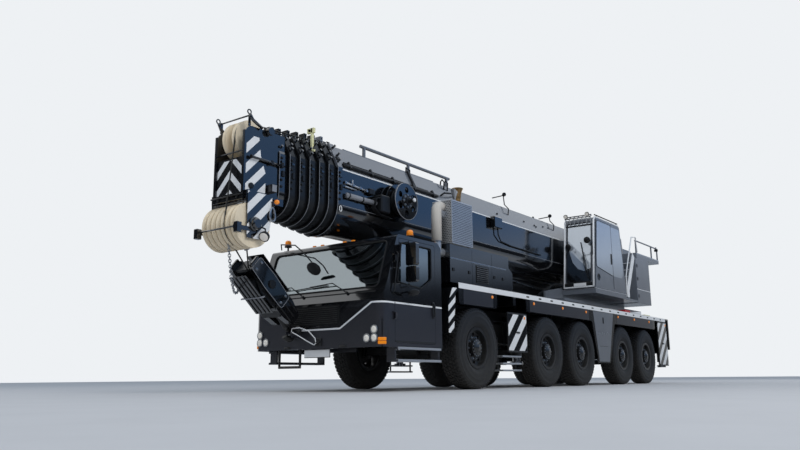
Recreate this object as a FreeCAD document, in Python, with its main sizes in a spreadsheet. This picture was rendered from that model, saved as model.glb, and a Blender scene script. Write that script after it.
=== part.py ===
"""Five-axle mobile crane with a seven-section telescopic boom, in travelling position.

Row frame, millimetres: X forward, Y to the driver's left, Z up.
The origin is on the ground under the slewing axis, midway between axles 3 and 4.
"""
import FreeCAD, Part
import math
import os
import Sketcher

doc = FreeCAD.newDocument("MobileCrane")

# Driving dimensions, one row each: name and value in millimetres, or degrees where the name says so.
SIZES = {
    # running gear
    "tyre_diameter": 1370, "tyre_width": 385, "tread_width": 300, "shoulder_drop": 32,
    "sidewall_radius": 440, "bead_width": 290, "bead_diameter": 640, "bead_height": 30, "rim_lip": 18,
    "rim_wall": 20, "disc_offset": 55, "disc_thickness": 26, "hub_radius": 150, "hub_reach": 150,
    "drum_radius": 205, "drum_depth": 45, "spindle_radius": 60, "spindle_reach": 38, "track": 2365,
    "slew_gap": 2410, "close_gap": 1650, "front_gap": 2690, "kingpin_half": 1040, "kingpin_radius": 32,
    "eye_radius": 62, "eye_height": 150, "lug_height": 38, "steer_plate": 22, "beam_width": 150,
    "beam_height": 130, "differential_radius": 185, "strut_half": 620, "strut_radius": 55,
    "hand_hole": 30, "hand_circle": 236,
    # carrier frame and deck
    "half_width": 1375, "frame_half": 400, "frame_bottom": 215, "frame_top": 600, "frame_front": -95,
    "frame_rear": -520, "frame_kick": 605, "nose_top": 160, "nose_bottom": -100, "deck_top": 240,
    "deck_sheet": 40, "edge_height": 90, "edge_thickness": 34, "deck_front": -5, "deck_rear": -520,
    "edge_rear": 215, "tail_panel": 65, "bearer_half": 50, "bracket_half": 110, "bracket_reach": 700,
    "pedestal_radius": 760, "pedestal_top": 22, "valance_thickness": 28, "arch_front": 20,
    "arch_rear": 40, "fender_sheet": 12, "fender_half": 900, "post_front_top": 115, "post_rear_top": 185,
    "post_front_foot": 145, "post_rear_foot": 215, "post_bottom": -410, "bay_front": -385,
    "arch_front_start": -670, "arch_rear_end": 580,
    # outriggers
    "box_front_centre": 1295, "box_rear_centre": -1325, "box_length": 840, "box_bottom": -100,
    "box_height": 410, "box_half": -110, "box_wall": 15, "slide_gap": 6, "seat_gap": 0.3, "pad_strip": 5,
    "beam_tail": -1050, "beam_end": -85, "jack_half": -160, "jack_tube_radius": 100,
    "jack_rod_radius": 74, "jack_tube_bottom": -240, "jack_tube_top": 490, "foot_radius": 122,
    "foot_bottom": -140, "foot_height": 60, "cover_thickness": 26, "cover_front_bottom": -160,
    "cover_front_top": 560, "cover_rear_bottom": -340, "cover_rear_top": 840, "cover_length": 730,
    # engine and its cover
    "cover_front": 170, "cover_rear": -275, "cover_rear_low": -140, "cover_top": 650, "cover_step": 360,
    "cover_half": -45, "sheet_wall": 10, "engine_front": 1300, "engine_rear": -1550, "engine_half": 420,
    "engine_top": -140, "silencer_front": -15, "silencer_rear": -635, "silencer_inner": 1000,
    "silencer_top": 740, "pipe_radius": 75,
    # carrier cab
    "cab_front": 1520, "cab_rear": 465, "cab_bottom": -45, "cab_belt": 690, "screen_foot_x": -75,
    "screen_foot_z": 145, "roof_front": -360, "roof_top": 850, "roof_rear": 85, "cab_half": -30,
    "cab_wall": 40, "cab_corner": 150, "floor_thickness": 40, "door_front": -290, "door_rear": 175,
    "door_bottom": 60, "door_top": -55, "panel_gap": 6, "screen_half": -155, "screen_bottom": 45,
    "screen_top": -90, "pane_depth": 8, "pane_thickness": 8, "pane_gap": 0.3, "hinge_stand": 24,
    "hinge_pin_radius": 9, "hinge_barrel_radius": 16, "hinge_height": 90, "lamp_radius": 52,
    "lamp_proud": 12, "lamp_low": 130, "lamp_high": 120, "lamp_outer": -150, "lamp_pitch": 140,
    "pillar_knee": 175, "door_front_head": -110, "window_front_foot": -65, "window_sill_front": -50,
    "window_front_head": -105, "window_top": -120, "window_low_x": 270, "window_sill_low": -100,
    "window_rear": 110, "window_sill_rear": 60, "rear_window_half": 650, "hinge_low": 350,
    "hinge_high": -370, "seat_y": 700, "seat_half": 240, "step_front": -45, "step_rear": 25,
    "step_low": -210, "step_thickness": 30, "mirror_x": -245, "mirror_in": 55, "mirror_out": 190,
    "mirror_low": -50, "mirror_split": 240, "mirror_top": 350, "mirror_depth": 80,
    "wheel_rim_radius": 215, "wheel_rim_bar": 15, "stripe_panel_foot": 60, "stripe_panel_depth": 150,
    "stripe_panel_bottom": 260, "stripe_panel_in": 1000, "mirror_corner": 30,
    # crane cab on the superstructure
    "booth_bottom": 20, "booth_top": 1700, "booth_front_foot": 325, "booth_front_head": -250,
    "booth_rear_foot": -1735, "booth_rear_head": 220, "booth_inner": 100, "booth_outer": -30,
    "booth_wall": 35, "booth_door_rear": 920, "booth_door_thickness": 22, "booth_window_sill": 580,
    "booth_hinge_x": 35, "booth_hinge_z": -42, "booth_pin_radius": 12, "booth_hinge_spread": 260,
    "booth_lug_width": 40, "booth_rail": 28, "booth_side_rear": 305, "booth_side_front": -55,
    "booth_right_front": -225, "booth_window_top": -120, "booth_screen_bottom": 140,
    "console_gap": 10, "console_width": 70,
    # superstructure
    "ring_radius": 800, "ring_top": 88, "bed_top": 65, "bed_front": 1200, "bed_rear": -800,
    "bed_half": 1000, "cheek_inner": 50, "cheek_thickness": 45, "cheek_top": 230, "pivot_x": -2900,
    "pivot_z": 680, "pivot_radius": 90, "platform_top": 265, "platform_thickness": 110,
    "platform_front": -25, "platform_rear": 95, "locker_front": 250, "locker_rear": -800,
    "locker_bottom": 145, "locker_top": 1190, "locker_half": 1300, "drum_x": -1250, "drum_z": 300,
    "drum_core": 190, "drum_flange": 290, "drum_half": -70, "drum_shaft": 45, "tail_end": -450,
    "tail_top": 440, "tail_bottom": -350, "canopy_bottom": 50, "canopy_depth": 110, "rail_bar": 20,
    "stair_foot_x": -195, "stair_foot_z": 120, "stair_run": 110, "stair_rise": 190, "stair_depth": 150,
    "stair_inner": 900, "hydraulic_front": 900, "hydraulic_rear": -2500, "hydraulic_top": 835,
    "cheek_waist_x": -600, "cheek_waist_z": 485, "cheek_knee_x": 1000, "cheek_knee_z": 550,
    "cheek_shoulder_x": 450,
    # luffing cylinder
    "luff_base_x": -1100, "luff_base_z": 135, "luff_eye_x": 2900, "luff_eye_z": -105,
    "barrel_radius": 130, "barrel_length": 3450, "rod_radius": 85, "luff_pin_radius": 60,
    "eye_width": 100, "ear_thickness": 40,
    # boom
    "boom_half": 450, "boom_top": 1430, "boom_bottom": 95, "boom_round": -10, "boom_shoulder": -400,
    "boom_top_half": 250, "boom_wall": 12, "section_gap": 12, "boom_rear": -250, "boom_front": 8145,
    "section_pitch": 185, "section_rear": 500, "section_stagger": 50, "collar_length": 110,
    "collar_thickness": 26, "lug_rise": 190, "lug_half": 60, "foot_plate": 25, "reel_x": -1495,
    "reel_z": 710, "reel_radius": 320, "reel_hub": 80, "reel_half": 250, "guard_front": -865,
    "guard_rear": -2710, "guard_top": 200, "guard_half": -50, "luff_ear_reach": 110, "head_half": -140,
    "head_front": 1740, "head_plate": 20, "head_bottom": 220, "head_top": -150, "upper_sheave_x": -245,
    "upper_sheave_z": -140, "upper_sheave_radius": 290, "lower_sheave_x": -145, "lower_sheave_z": 40,
    "lower_sheave_radius": 320, "sheave_width": 80, "sheave_pitch": 100, "sheave_axle_radius": 45,
    "fork_half": 12, "jib_bore_radius": 30, "guard_bar": 30, "lug_hole": 14, "keeper_bar": 12,
    "reel_hole": 52, "reel_hole_circle": 200,
    # hook block, lashed to the bumper
    "hook_y": -350, "block_x": 795, "block_z": 930, "block_lean_deg": 48, "block_sheave_radius": 225,
    "block_half": 190, "block_reach": 380, "hook_ring": 110, "hook_bar": 40, "hook_drop": 900,
    "bumper_pin_radius": 22,
    # fits
    "running_gap": 0.05,
}

# Sizes that are distances from another size, or from one of PLACES: the base, then what is measured from it
MEASURED_FROM = {
    "wheel_z": "frame_bottom cab_bottom",
    "axle_1": "frame_kick arch_front_start",
    "axle_2": "box_front_centre",
    "axle_5": "box_rear_centre",
    "tyre_diameter": "arch_front arch_rear",
    "half_width": "jack_half cover_half cab_half booth_outer",
    "frame_bottom": "frame_top nose_top nose_bottom post_bottom box_bottom",
    "frame_top": "deck_top",
    "frame_kick": "deck_front engine_rear cab_rear",
    "deck_top": "pedestal_top cover_top cover_step",
    "deck_front": "cover_front",
    "deck_rear": "edge_rear",
    "pedestal_top": "ring_top",
    "box_front_centre": "bay_front",
    "box_rear_centre": "frame_rear deck_rear arch_rear_end",
    "box_bottom": "jack_tube_bottom jack_tube_top cover_front_bottom cover_front_top"
                  " cover_rear_bottom cover_rear_top",
    "jack_half": "box_half beam_end",
    "jack_tube_bottom": "foot_bottom",
    "cover_front": "silencer_front",
    "cover_rear": "cover_rear_low",
    "cover_top": "engine_top silencer_top",
    "engine_rear": "cover_rear engine_front",
    "silencer_front": "silencer_rear",
    "cab_front": "frame_front screen_foot_x roof_front door_front block_x",
    "cab_rear": "cab_front roof_rear door_rear step_rear",
    "cab_bottom": "cab_belt door_bottom lamp_low step_low stripe_panel_bottom block_z",
    "cab_belt": "screen_foot_z",
    "screen_foot_z": "roof_top screen_bottom pillar_knee",
    "roof_top": "door_top screen_top window_top boom_bottom",
    "cab_half": "screen_half lamp_outer mirror_in",
    "door_front": "door_front_head window_front_foot step_front mirror_x",
    "door_rear": "window_rear",
    "door_bottom": "hinge_low",
    "door_top": "hinge_high",
    "lamp_low": "lamp_high",
    "pillar_knee": "window_sill_front window_sill_low window_sill_rear mirror_low",
    "window_front_foot": "window_front_head",
    "window_rear": "window_low_x",
    "mirror_in": "mirror_out",
    "mirror_low": "mirror_split",
    "mirror_split": "mirror_top",
    "booth_bottom": "booth_top booth_window_sill booth_hinge_z booth_screen_bottom",
    "booth_top": "booth_window_top",
    "booth_front_foot": "booth_front_head platform_front",
    "booth_front_head": "booth_right_front",
    "booth_rear_foot": "booth_rear_head booth_door_rear booth_hinge_x booth_side_rear platform_rear"
                       " stair_foot_x",
    "booth_door_rear": "booth_side_front",
    "ring_top": "bed_top",
    "bed_top": "platform_top locker_bottom hydraulic_top cheek_waist_z luff_base_z",
    "cheek_inner": "booth_inner drum_half",
    "pivot_x": "bed_rear locker_front locker_rear drum_x cheek_knee_x cheek_shoulder_x boom_rear",
    "pivot_z": "cheek_top drum_z",
    "platform_top": "booth_bottom stair_foot_z",
    "locker_bottom": "locker_top",
    "locker_top": "canopy_bottom",
    "drum_x": "tail_end",
    "drum_z": "tail_bottom",
    "canopy_bottom": "tail_top",
    "cheek_waist_z": "cheek_knee_z",
    "boom_half": "cheek_inner boom_round reel_half head_half",
    "boom_top": "boom_shoulder guard_top head_top",
    "boom_bottom": "pivot_z luff_eye_z boom_top reel_z head_bottom",
    "boom_top_half": "guard_half",
    "boom_rear": "section_rear",
    "boom_front": "reel_x guard_front head_front",
    "guard_front": "guard_rear",
    "head_front": "upper_sheave_x lower_sheave_x",
    "head_top": "upper_sheave_z",
}
BASES = {name: base for base, names in MEASURED_FROM.items() for name in names.split()}

AXLES = ((1, True), (2, True), (3, False), (4, False), (5, False))  # number, steered
HAND_HOLES, REEL_HOLES = 10, 6
LUG_HOLES = (0.45, 0.8)  # heights of the pin holes as shares of the lug
SECTIONS = 6
HOOK_SWEEP = 290
UPPER_SHEAVES = (-1, 1)
LOWER_SHEAVES = (-3, -2, -1, 0, 1, 2, 3)

sheet = doc.addObject("Spreadsheet::Sheet", "Sizes")
for row, (alias, value) in enumerate(SIZES.items(), start=1):
    sheet.set(f"A{row}", alias)
    sheet.set(f"B{row}", str(value))
    sheet.setAlias(f"B{row}", alias)
doc.recompute()


class Size:
    """A number together with the sheet expression that it comes from."""

    def __init__(self, value, text):
        self.value, self.text = value, text

    @staticmethod
    def of(other):
        return other if isinstance(other, Size) else Size(other, repr(other))

    def __add__(self, other):
        other = Size.of(other)
        return Size(self.value + other.value, f"({self.text} + {other.text})")

    def __radd__(self, other):
        return Size.of(other) + self

    def __sub__(self, other):
        other = Size.of(other)
        return Size(self.value - other.value, f"({self.text} - {other.text})")

    def __rsub__(self, other):
        return Size.of(other) - self

    def __mul__(self, other):
        other = Size.of(other)
        return Size(self.value * other.value, f"({self.text} * {other.text})")

    __rmul__ = __mul__

    def __truediv__(self, other):
        other = Size.of(other)
        return Size(self.value / other.value, f"({self.text} / {other.text})")

    def __neg__(self):
        return Size(0, "0") - self

    def __float__(self):
        return float(self.value)


class Sheet:
    """Reads a named size of the sheet as a Size, from the place that it's measured from."""

    def __getattr__(self, name):
        if name in PLACES:
            return PLACES[name]
        own = Size(float(SIZES[name]), f"Sizes.{name}")
        return getattr(self, BASES[name]) + own if name in BASES else own


PLACES = {}
S = Sheet()
ZERO = Size(0, "0")
TURNS = {  # turn that lays a body's own Z axis along the named axis
    "x": FreeCAD.Rotation(FreeCAD.Vector(0, 1, 0), 90),
    "y": FreeCAD.Rotation(FreeCAD.Vector(1, 0, 0), -90),
    "z": FreeCAD.Rotation()}


def bind(thing, path, size):
    """Ties a property of an object to the sheet."""
    thing.setExpression(path, Size.of(size).text)


def place(thing, x, y, z, turn=None):
    """Puts an object at x, y, z, tied to the sheet, with an optional turn."""
    thing.Placement = FreeCAD.Placement(
        FreeCAD.Vector(float(x), float(y), float(z)), turn or FreeCAD.Rotation())
    for axis, size in (("x", x), ("y", y), ("z", z)):
        bind(thing, f"Placement.Base.{axis}", size)
    return thing


def box(x_span, y_span, z_span):
    """Box between two sizes along each axis."""
    thing = doc.addObject("Part::Box", "Block")
    for name, span in (("Length", x_span), ("Width", y_span), ("Height", z_span)):
        bind(thing, name, Size.of(span[1]) - span[0])
    return place(thing, x_span[0], y_span[0], z_span[0])


def rod(axis, start, length, radius, bore=None):
    """Round bar, or a tube where a bore is given, from its start point along an axis."""
    bar = doc.addObject("Part::Cylinder", "Bar")
    bind(bar, "Radius", radius)
    bind(bar, "Height", length)
    place(bar, *start, turn=TURNS[axis])
    if bore is None:
        return bar
    return cut(bar, [rod(axis, start, length, bore)])


def fuse(parts):
    if len(parts) == 1:
        return parts[0]
    thing = doc.addObject("Part::MultiFuse", "Joined")
    thing.Shapes = parts
    thing.Refine = True
    return thing


def cut(base, tools):
    thing = doc.addObject("Part::Cut", "Cut")
    thing.Base = base
    thing.Tool = fuse(tools)
    thing.Refine = True
    return thing


def common(first, second):
    thing = doc.addObject("Part::Common", "Shared")
    thing.Base = first
    thing.Tool = second
    thing.Refine = True
    return thing


def group(parts):
    """Several solids that don't touch, kept as one piece."""
    thing = doc.addObject("Part::Compound", "Group")
    thing.Links = parts
    return thing


def mirrored(source):
    """The same piece on the right-hand side."""
    thing = doc.addObject("Part::Mirroring", "Mirrored")
    thing.Source = source
    thing.Normal = FreeCAD.Vector(0, 1, 0)
    return thing


def corner_arc(before, corner, after, radius):
    """Start, end, centre and turning sense of the arc that rounds a corner."""
    back = (before - corner).normalize()
    ahead = (after - corner).normalize()
    half = back.getAngle(ahead) / 2
    reach = radius / math.tan(half)
    centre = corner + (back + ahead).normalize() * (radius / math.sin(half))
    return corner + back * reach, corner + ahead * reach, centre, back.cross(ahead).z < 0


def draw_outline(sketch, corners):
    """Closed outline in a sketch: each corner is (across, up) or (across, up, radius of its arc)."""
    points = [FreeCAD.Vector(float(c[0]), float(c[1]), 0) for c in corners]
    arcs = [corner_arc(points[i - 1], points[i], points[(i + 1) % len(points)], float(c[2]))
            if len(c) > 2 else None for i, c in enumerate(corners)]
    starts = [arc[1] if arc else point for arc, point in zip(arcs, points)]
    ends = [arc[0] if arc else point for arc, point in zip(arcs, points)]
    lines = [sketch.addGeometry(Part.LineSegment(starts[i], ends[(i + 1) % len(points)]), False)
             for i in range(len(points))]
    rules, ties = [], []

    def tie(kind, refs, size):
        ties.append((sketch.ConstraintCount + len(rules), size))
        rules.append(Sketcher.Constraint(kind, *refs, float(size)))

    for i, corner in enumerate(corners):
        before, after = lines[i - 1], lines[i]
        if arcs[i] is None:
            rules.append(Sketcher.Constraint("Coincident", before, 2, after, 1))
            tie("DistanceX", (-1, 1, after, 1), corner[0])
            tie("DistanceY", (-1, 1, after, 1), corner[1])
            continue
        start, end, centre, leftward = arcs[i]
        first, last = (start, end) if leftward else (end, start)
        circle = Part.Circle(centre, FreeCAD.Vector(0, 0, 1), float(corner[2]))
        arc = sketch.addGeometry(Part.ArcOfCircle(circle, circle.parameter(first), circle.parameter(last)),
                                 False)
        mark = sketch.addGeometry(Part.Point(points[i]), True)
        rules.append(Sketcher.Constraint("PointOnObject", mark, 1, before))
        rules.append(Sketcher.Constraint("PointOnObject", mark, 1, after))
        rules.append(Sketcher.Constraint("Tangent", before, 2, arc, 1 if leftward else 2))
        rules.append(Sketcher.Constraint("Tangent", after, 1, arc, 2 if leftward else 1))
        tie("DistanceX", (-1, 1, mark, 1), corner[0])
        tie("DistanceY", (-1, 1, mark, 1), corner[1])
        tie("Radius", (arc,), corner[2])
    sketch.addConstraint(rules)
    for index, size in ties:
        bind(sketch, f"Constraints[{index}]", size)


def sketch_in(body, plane, outlines, offset=ZERO):
    """Sketch on one of a body's own origin planes, moved along its normal by the offset."""
    sketch = body.newObject("Sketcher::SketchObject", "Outline")
    support = [face for face in body.Origin.OriginFeatures if face.Role == f"{plane}_Plane"][0]
    sketch.AttachmentSupport = [(support, "")]
    sketch.MapMode = "FlatFace"
    bind(sketch, "AttachmentOffset.Base.z", offset)
    for outline in outlines:
        draw_outline(sketch, outline)
    return sketch


def slab(plane, outline, low, high, holes=()):
    """Outline padded between two places along the third axis: XY along Z, XZ along Y, YZ along X."""
    body = doc.addObject("PartDesign::Body", "Slab")
    offset = -Size.of(high) if plane == "XZ" else low
    sketch = sketch_in(body, plane, [outline, *holes], offset)
    pad = body.newObject("PartDesign::Pad", "Pad")
    pad.Profile = sketch
    bind(pad, "Length", Size.of(high) - low)
    return body


def turned(profile, angle=360):
    """Profile of (radius, along) corners turned about the body's own Y axis."""
    body = doc.addObject("PartDesign::Body", "Turned")
    sketch = sketch_in(body, "XY", [profile])
    turn = body.newObject("PartDesign::Revolution", "Turn")
    turn.Profile = sketch
    turn.ReferenceAxis = (sketch, ["V_Axis"])
    turn.Angle = angle
    return body


def ring_profile(radius, bar, sides):
    """Section of a faceted bar that is bent to a ring, as (radius, along) corners."""
    turns = [math.tau * (i + 0.5) / sides for i in range(sides)]
    corner = bar / math.cos(math.pi / sides)
    return [(radius + corner * math.cos(turn), corner * math.sin(turn)) for turn in turns]


def holes_round(axis_at, y_span, circle, radius, count):
    """Round holes along Y, evenly spaced on a circle about (x, z)."""
    x, z = axis_at
    turns = [math.tau * (i + 0.5) / count for i in range(count)]
    return [rod("y", (x + circle * math.cos(turn), y_span[0], z + circle * math.sin(turn)),
                Size.of(y_span[1]) - y_span[0], radius) for turn in turns]


nodes = {}


def keep(name, thing):
    """Names a finished sub-part."""
    thing.Label = name
    nodes[name] = thing
    return thing


# Places that several pieces share
wheel_z = S.tyre_diameter / 2
wheel_y = S.track / 2
AXLE_X = {3: S.slew_gap / 2, 4: -(S.slew_gap / 2)}
AXLE_X[2] = AXLE_X[3] + S.close_gap
AXLE_X[1] = AXLE_X[2] + S.front_gap
AXLE_X[5] = AXLE_X[4] - S.close_gap
SIDES = (("left", 1), ("right", -1))
PLACES.update({f"axle_{number}": x for number, x in AXLE_X.items()}, wheel_z=wheel_z)
HALF_TURN = FreeCAD.Rotation(FreeCAD.Vector(0, 0, 1), 180)


def tyre():
    """Wide single tyre: beads, bulged sidewalls and a flat tread."""
    bead = S.bead_width / 2
    side = S.tyre_width / 2
    tread = S.tread_width / 2
    crown = S.tyre_diameter / 2
    seat = S.bead_diameter / 2
    half = [(seat, bead), (seat + S.bead_height, bead), (S.sidewall_radius, side),
            (crown - S.shoulder_drop, side - S.bead_height / 2), (crown, tread)]
    other = [(radius, -along) for radius, along in reversed(half)]
    return turned(half + other)


def wheel():
    """Dished disc wheel with its hand holes, hub and brake drum, outboard side along +Y."""
    bead = S.bead_width / 2
    seat = S.bead_diameter / 2 - S.seat_gap
    lip = S.bead_diameter / 2 + S.bead_height - S.seat_gap
    inner = seat - S.rim_wall
    flange = bead + S.seat_gap
    edge = flange + S.rim_lip
    disc = S.disc_offset + S.disc_thickness
    bore = S.spindle_radius
    dished = turned([
        (lip, flange), (lip, edge), (inner, edge), (inner - S.rim_wall, disc), (S.hub_radius, disc),
        (S.hub_radius, S.hub_reach), (ZERO, S.hub_reach + S.rim_lip), (ZERO, S.spindle_reach + S.rim_lip),
        (bore, S.spindle_reach + S.rim_lip), (bore, -S.drum_depth), (S.drum_radius, -S.drum_depth),
        (S.drum_radius, S.disc_offset), (inner, S.disc_offset), (inner, -edge), (lip, -edge),
        (lip, -flange), (seat, -flange), (seat, flange)])
    return cut(dished, holes_round((ZERO, ZERO), (S.disc_offset - 1, disc + 1), S.hand_circle, S.hand_hole,
                                   HAND_HOLES))


def knuckle(x):
    """Steering knuckle of the left wheel: fork round the beam's eye, kingpin and spindle."""
    low = wheel_z - S.eye_height / 2 - S.slide_gap - S.lug_height
    high = wheel_z + S.eye_height / 2 + S.slide_gap + S.lug_height
    plate_in = S.kingpin_half + S.eye_radius + S.slide_gap
    plate_out = plate_in + S.steer_plate
    lugs = [box((x - S.eye_radius, x + S.eye_radius), (S.kingpin_half, plate_in), (z, z + S.lug_height))
            for z in (low, high - S.lug_height)]
    rounds = [rod("z", (x, S.kingpin_half, z), S.lug_height, S.eye_radius)
              for z in (low, high - S.lug_height)]
    plate = box((x - S.eye_radius, x + S.eye_radius), (plate_in, plate_out), (low, high))
    pin = rod("z", (x, S.kingpin_half, low), high - low, S.kingpin_radius - S.running_gap)
    spindle = rod("y", (x, plate_out, wheel_z), wheel_y + S.spindle_reach - plate_out,
                  S.spindle_radius - S.running_gap)
    return fuse([*lugs, *rounds, plate, pin, spindle])


def axle_beam(x, steered):
    """One axle: tube, differential housing, suspension struts, and eyes or spindles at its ends."""
    half_x = S.beam_width / 2
    eye_y = S.kingpin_half
    end = eye_y - S.eye_radius / 2 if steered else eye_y + S.eye_radius + S.slide_gap + S.steer_plate
    parts = [box((x - half_x, x + half_x), (-end, end),
                 (wheel_z - S.beam_height / 2, wheel_z + S.beam_height / 2)),
             rod("y", (x, -S.differential_radius, wheel_z), S.differential_radius * 2,
                 S.differential_radius)]
    for side in (1, -1):
        strut_y = S.strut_half * side
        parts.append(rod("z", (x, strut_y, wheel_z), S.frame_top - S.box_height / 2 - wheel_z,
                         S.strut_radius))
        if steered:
            parts.append(rod("z", (x, eye_y * side, wheel_z - S.eye_height / 2), S.eye_height,
                             S.eye_radius))
        else:
            start = end if side > 0 else -wheel_y - S.spindle_reach
            parts.append(rod("y", (x, start, wheel_z), wheel_y + S.spindle_reach - end,
                             S.spindle_radius - S.running_gap))
    whole = fuse(parts)
    if not steered:
        return whole
    bores = [rod("z", (x, eye_y * side, wheel_z - S.eye_height / 2), S.eye_height, S.kingpin_radius)
             for side in (1, -1)]
    return cut(whole, bores)


for number, steered in AXLES:
    for side, sign in SIDES:
        turn = FreeCAD.Rotation() if sign > 0 else HALF_TURN
        keep(f"tyre_{number}_{side}", place(tyre(), AXLE_X[number], wheel_y * sign, wheel_z, turn))
        keep(f"wheel_{number}_{side}", place(wheel(), AXLE_X[number], wheel_y * sign, wheel_z, turn))
    if steered:
        left = keep(f"knuckle_{number}_left", knuckle(AXLE_X[number]))
        keep(f"knuckle_{number}_right", mirrored(left))
keep("axle_beams", group([axle_beam(AXLE_X[number], steered) for number, steered in AXLES]))


def y_span(sign, inner, outer):
    """Span along Y between two distances from the middle, on the side of the given sign."""
    return (inner, outer) if sign > 0 else (-Size.of(outer), -Size.of(inner))


def chassis_frame():
    """Welded box frame with its slewing pedestal, strut brackets and two outrigger boxes."""
    side = [(S.frame_rear, S.frame_bottom), (S.frame_kick - S.beam_width, S.frame_bottom),
            (S.frame_kick + S.box_length / 4, S.nose_bottom), (S.frame_front, S.nose_bottom),
            (S.frame_front, S.nose_top), (S.frame_kick + S.frame_half, S.nose_top),
            (S.frame_kick, S.frame_top), (S.frame_rear, S.frame_top)]
    parts = [slab("XZ", side, -S.frame_half, S.frame_half),
             rod("z", (ZERO, ZERO, S.frame_top), S.pedestal_top - S.frame_top, S.pedestal_radius)]
    strut_top = S.frame_top - S.box_height / 2
    for number, steered in AXLES:
        x = AXLE_X[number]
        parts.append(box((x - S.bracket_half, x + S.bracket_half), (-S.bracket_reach, S.bracket_reach),
                         (strut_top, strut_top + S.bracket_half)))
    tunnels, strips = [], []
    floor = S.box_bottom + S.box_wall
    for centre in (S.box_front_centre, S.box_rear_centre):
        half = S.box_length / 2
        parts.append(box((centre - half, centre + half), (-S.box_half, S.box_half),
                         (S.box_bottom, S.box_bottom + S.box_height)))
        for low, high in ((centre - half + S.box_wall, centre - S.box_wall / 2),
                          (centre + S.box_wall / 2, centre + half - S.box_wall)):
            tunnels.append(box((low, high), (-S.half_width, S.half_width),
                               (floor, S.box_bottom + S.box_height - S.box_wall)))
            for sign in (1, -1):
                strips.append(box((low + S.box_wall, high - S.box_wall),
                                  y_span(sign, S.box_half - S.beam_width, S.box_half),
                                  (floor - S.box_wall / 2, floor + S.pad_strip)))
    return fuse([cut(fuse(parts), tunnels), *strips])


def deck():
    """Deck plate with its edge rails, bearers, side valances, fenders, side cabinets and tail panel."""
    under = S.deck_top - S.deck_sheet
    parts = [box((S.deck_rear, S.deck_front), (-S.half_width, S.half_width), (under, S.deck_top)),
             box((S.deck_rear - S.tail_panel, S.deck_rear), (-S.half_width, S.half_width),
                 (S.frame_bottom, S.deck_top))]
    bearers = [AXLE_X[2], AXLE_X[3], AXLE_X[4], AXLE_X[5], S.box_front_centre, S.box_rear_centre,
               S.deck_front - S.bearer_half]
    for x in bearers:
        parts.append(box((x - S.bearer_half, x + S.bearer_half), (-S.cover_half, S.cover_half),
                         (S.frame_top, under)))
    edge_bottom = S.deck_top - S.edge_height
    fold = S.beam_width / 2
    front_tyre, rear_tyre = AXLE_X[3] - wheel_z, AXLE_X[4] + wheel_z
    post_front_top, post_front_foot = front_tyre + S.post_front_top, front_tyre - S.post_front_foot
    post_rear_top, post_rear_foot = rear_tyre - S.post_rear_top, rear_tyre + S.post_rear_foot
    valances = [
        [(S.arch_front_start, S.arch_front, fold), (S.deck_front, S.arch_front, fold),
         (S.deck_front, edge_bottom), (S.arch_front_start, edge_bottom)],
        [(S.bay_front, S.arch_rear, fold), (S.bay_front, edge_bottom), (S.arch_rear_end, edge_bottom),
         (S.arch_rear_end, S.arch_rear, fold), (post_rear_top, S.arch_rear, fold),
         (post_rear_foot, S.post_bottom, fold), (post_front_foot, S.post_bottom, fold),
         (post_front_top, S.arch_rear, fold)]]
    fenders = [(S.arch_front_start + fold, S.deck_front - fold, S.arch_front),
               (post_front_top + fold, S.bay_front - fold, S.arch_rear),
               (S.arch_rear_end + fold, post_rear_top - fold, S.arch_rear)]
    valance_in = S.half_width - S.valance_thickness
    panel_head = S.deck_top - S.edge_height
    for sign in (1, -1):
        parts.append(box((S.edge_rear, S.deck_front),
                         y_span(sign, S.half_width - S.edge_thickness, S.half_width),
                         (edge_bottom, S.deck_top)))
        for outline in valances:
            parts.append(slab("XZ", outline, *y_span(sign, valance_in, S.half_width)))
        for rear, front, z in fenders:
            parts.append(box((rear, front),
                             y_span(sign, S.fender_half, valance_in + S.valance_thickness / 2),
                             (z, z + S.fender_sheet)))
        parts.append(box((post_rear_foot, post_front_foot), y_span(sign, S.fender_half, valance_in),
                         (S.post_bottom + fold, under)))
        foot = AXLE_X[1] + wheel_z + S.stripe_panel_foot
        stripes = [(foot, S.stripe_panel_bottom), (foot + S.stripe_panel_depth, S.stripe_panel_bottom),
                   (foot + S.stripe_panel_depth, S.arch_front),
                   (S.cover_front, panel_head), (S.deck_front - fold, panel_head),
                   (S.deck_front - fold, panel_head - S.fender_sheet * 2),
                   (S.deck_front + fold, panel_head - fold)]
        parts.append(slab("XZ", stripes, *y_span(sign, S.stripe_panel_in,
                                                 S.half_width - S.edge_thickness / 2)))
    holes = [rod("z", (ZERO, ZERO, S.frame_top - 1), S.deck_top, S.pedestal_radius + S.panel_gap),
             box((S.engine_rear - S.panel_gap, S.engine_front + S.panel_gap),
                 (-S.engine_half - S.panel_gap, S.engine_half + S.panel_gap),
                 (S.frame_top - 1, S.deck_top + 1))]
    return cut(fuse(parts), holes)


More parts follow.
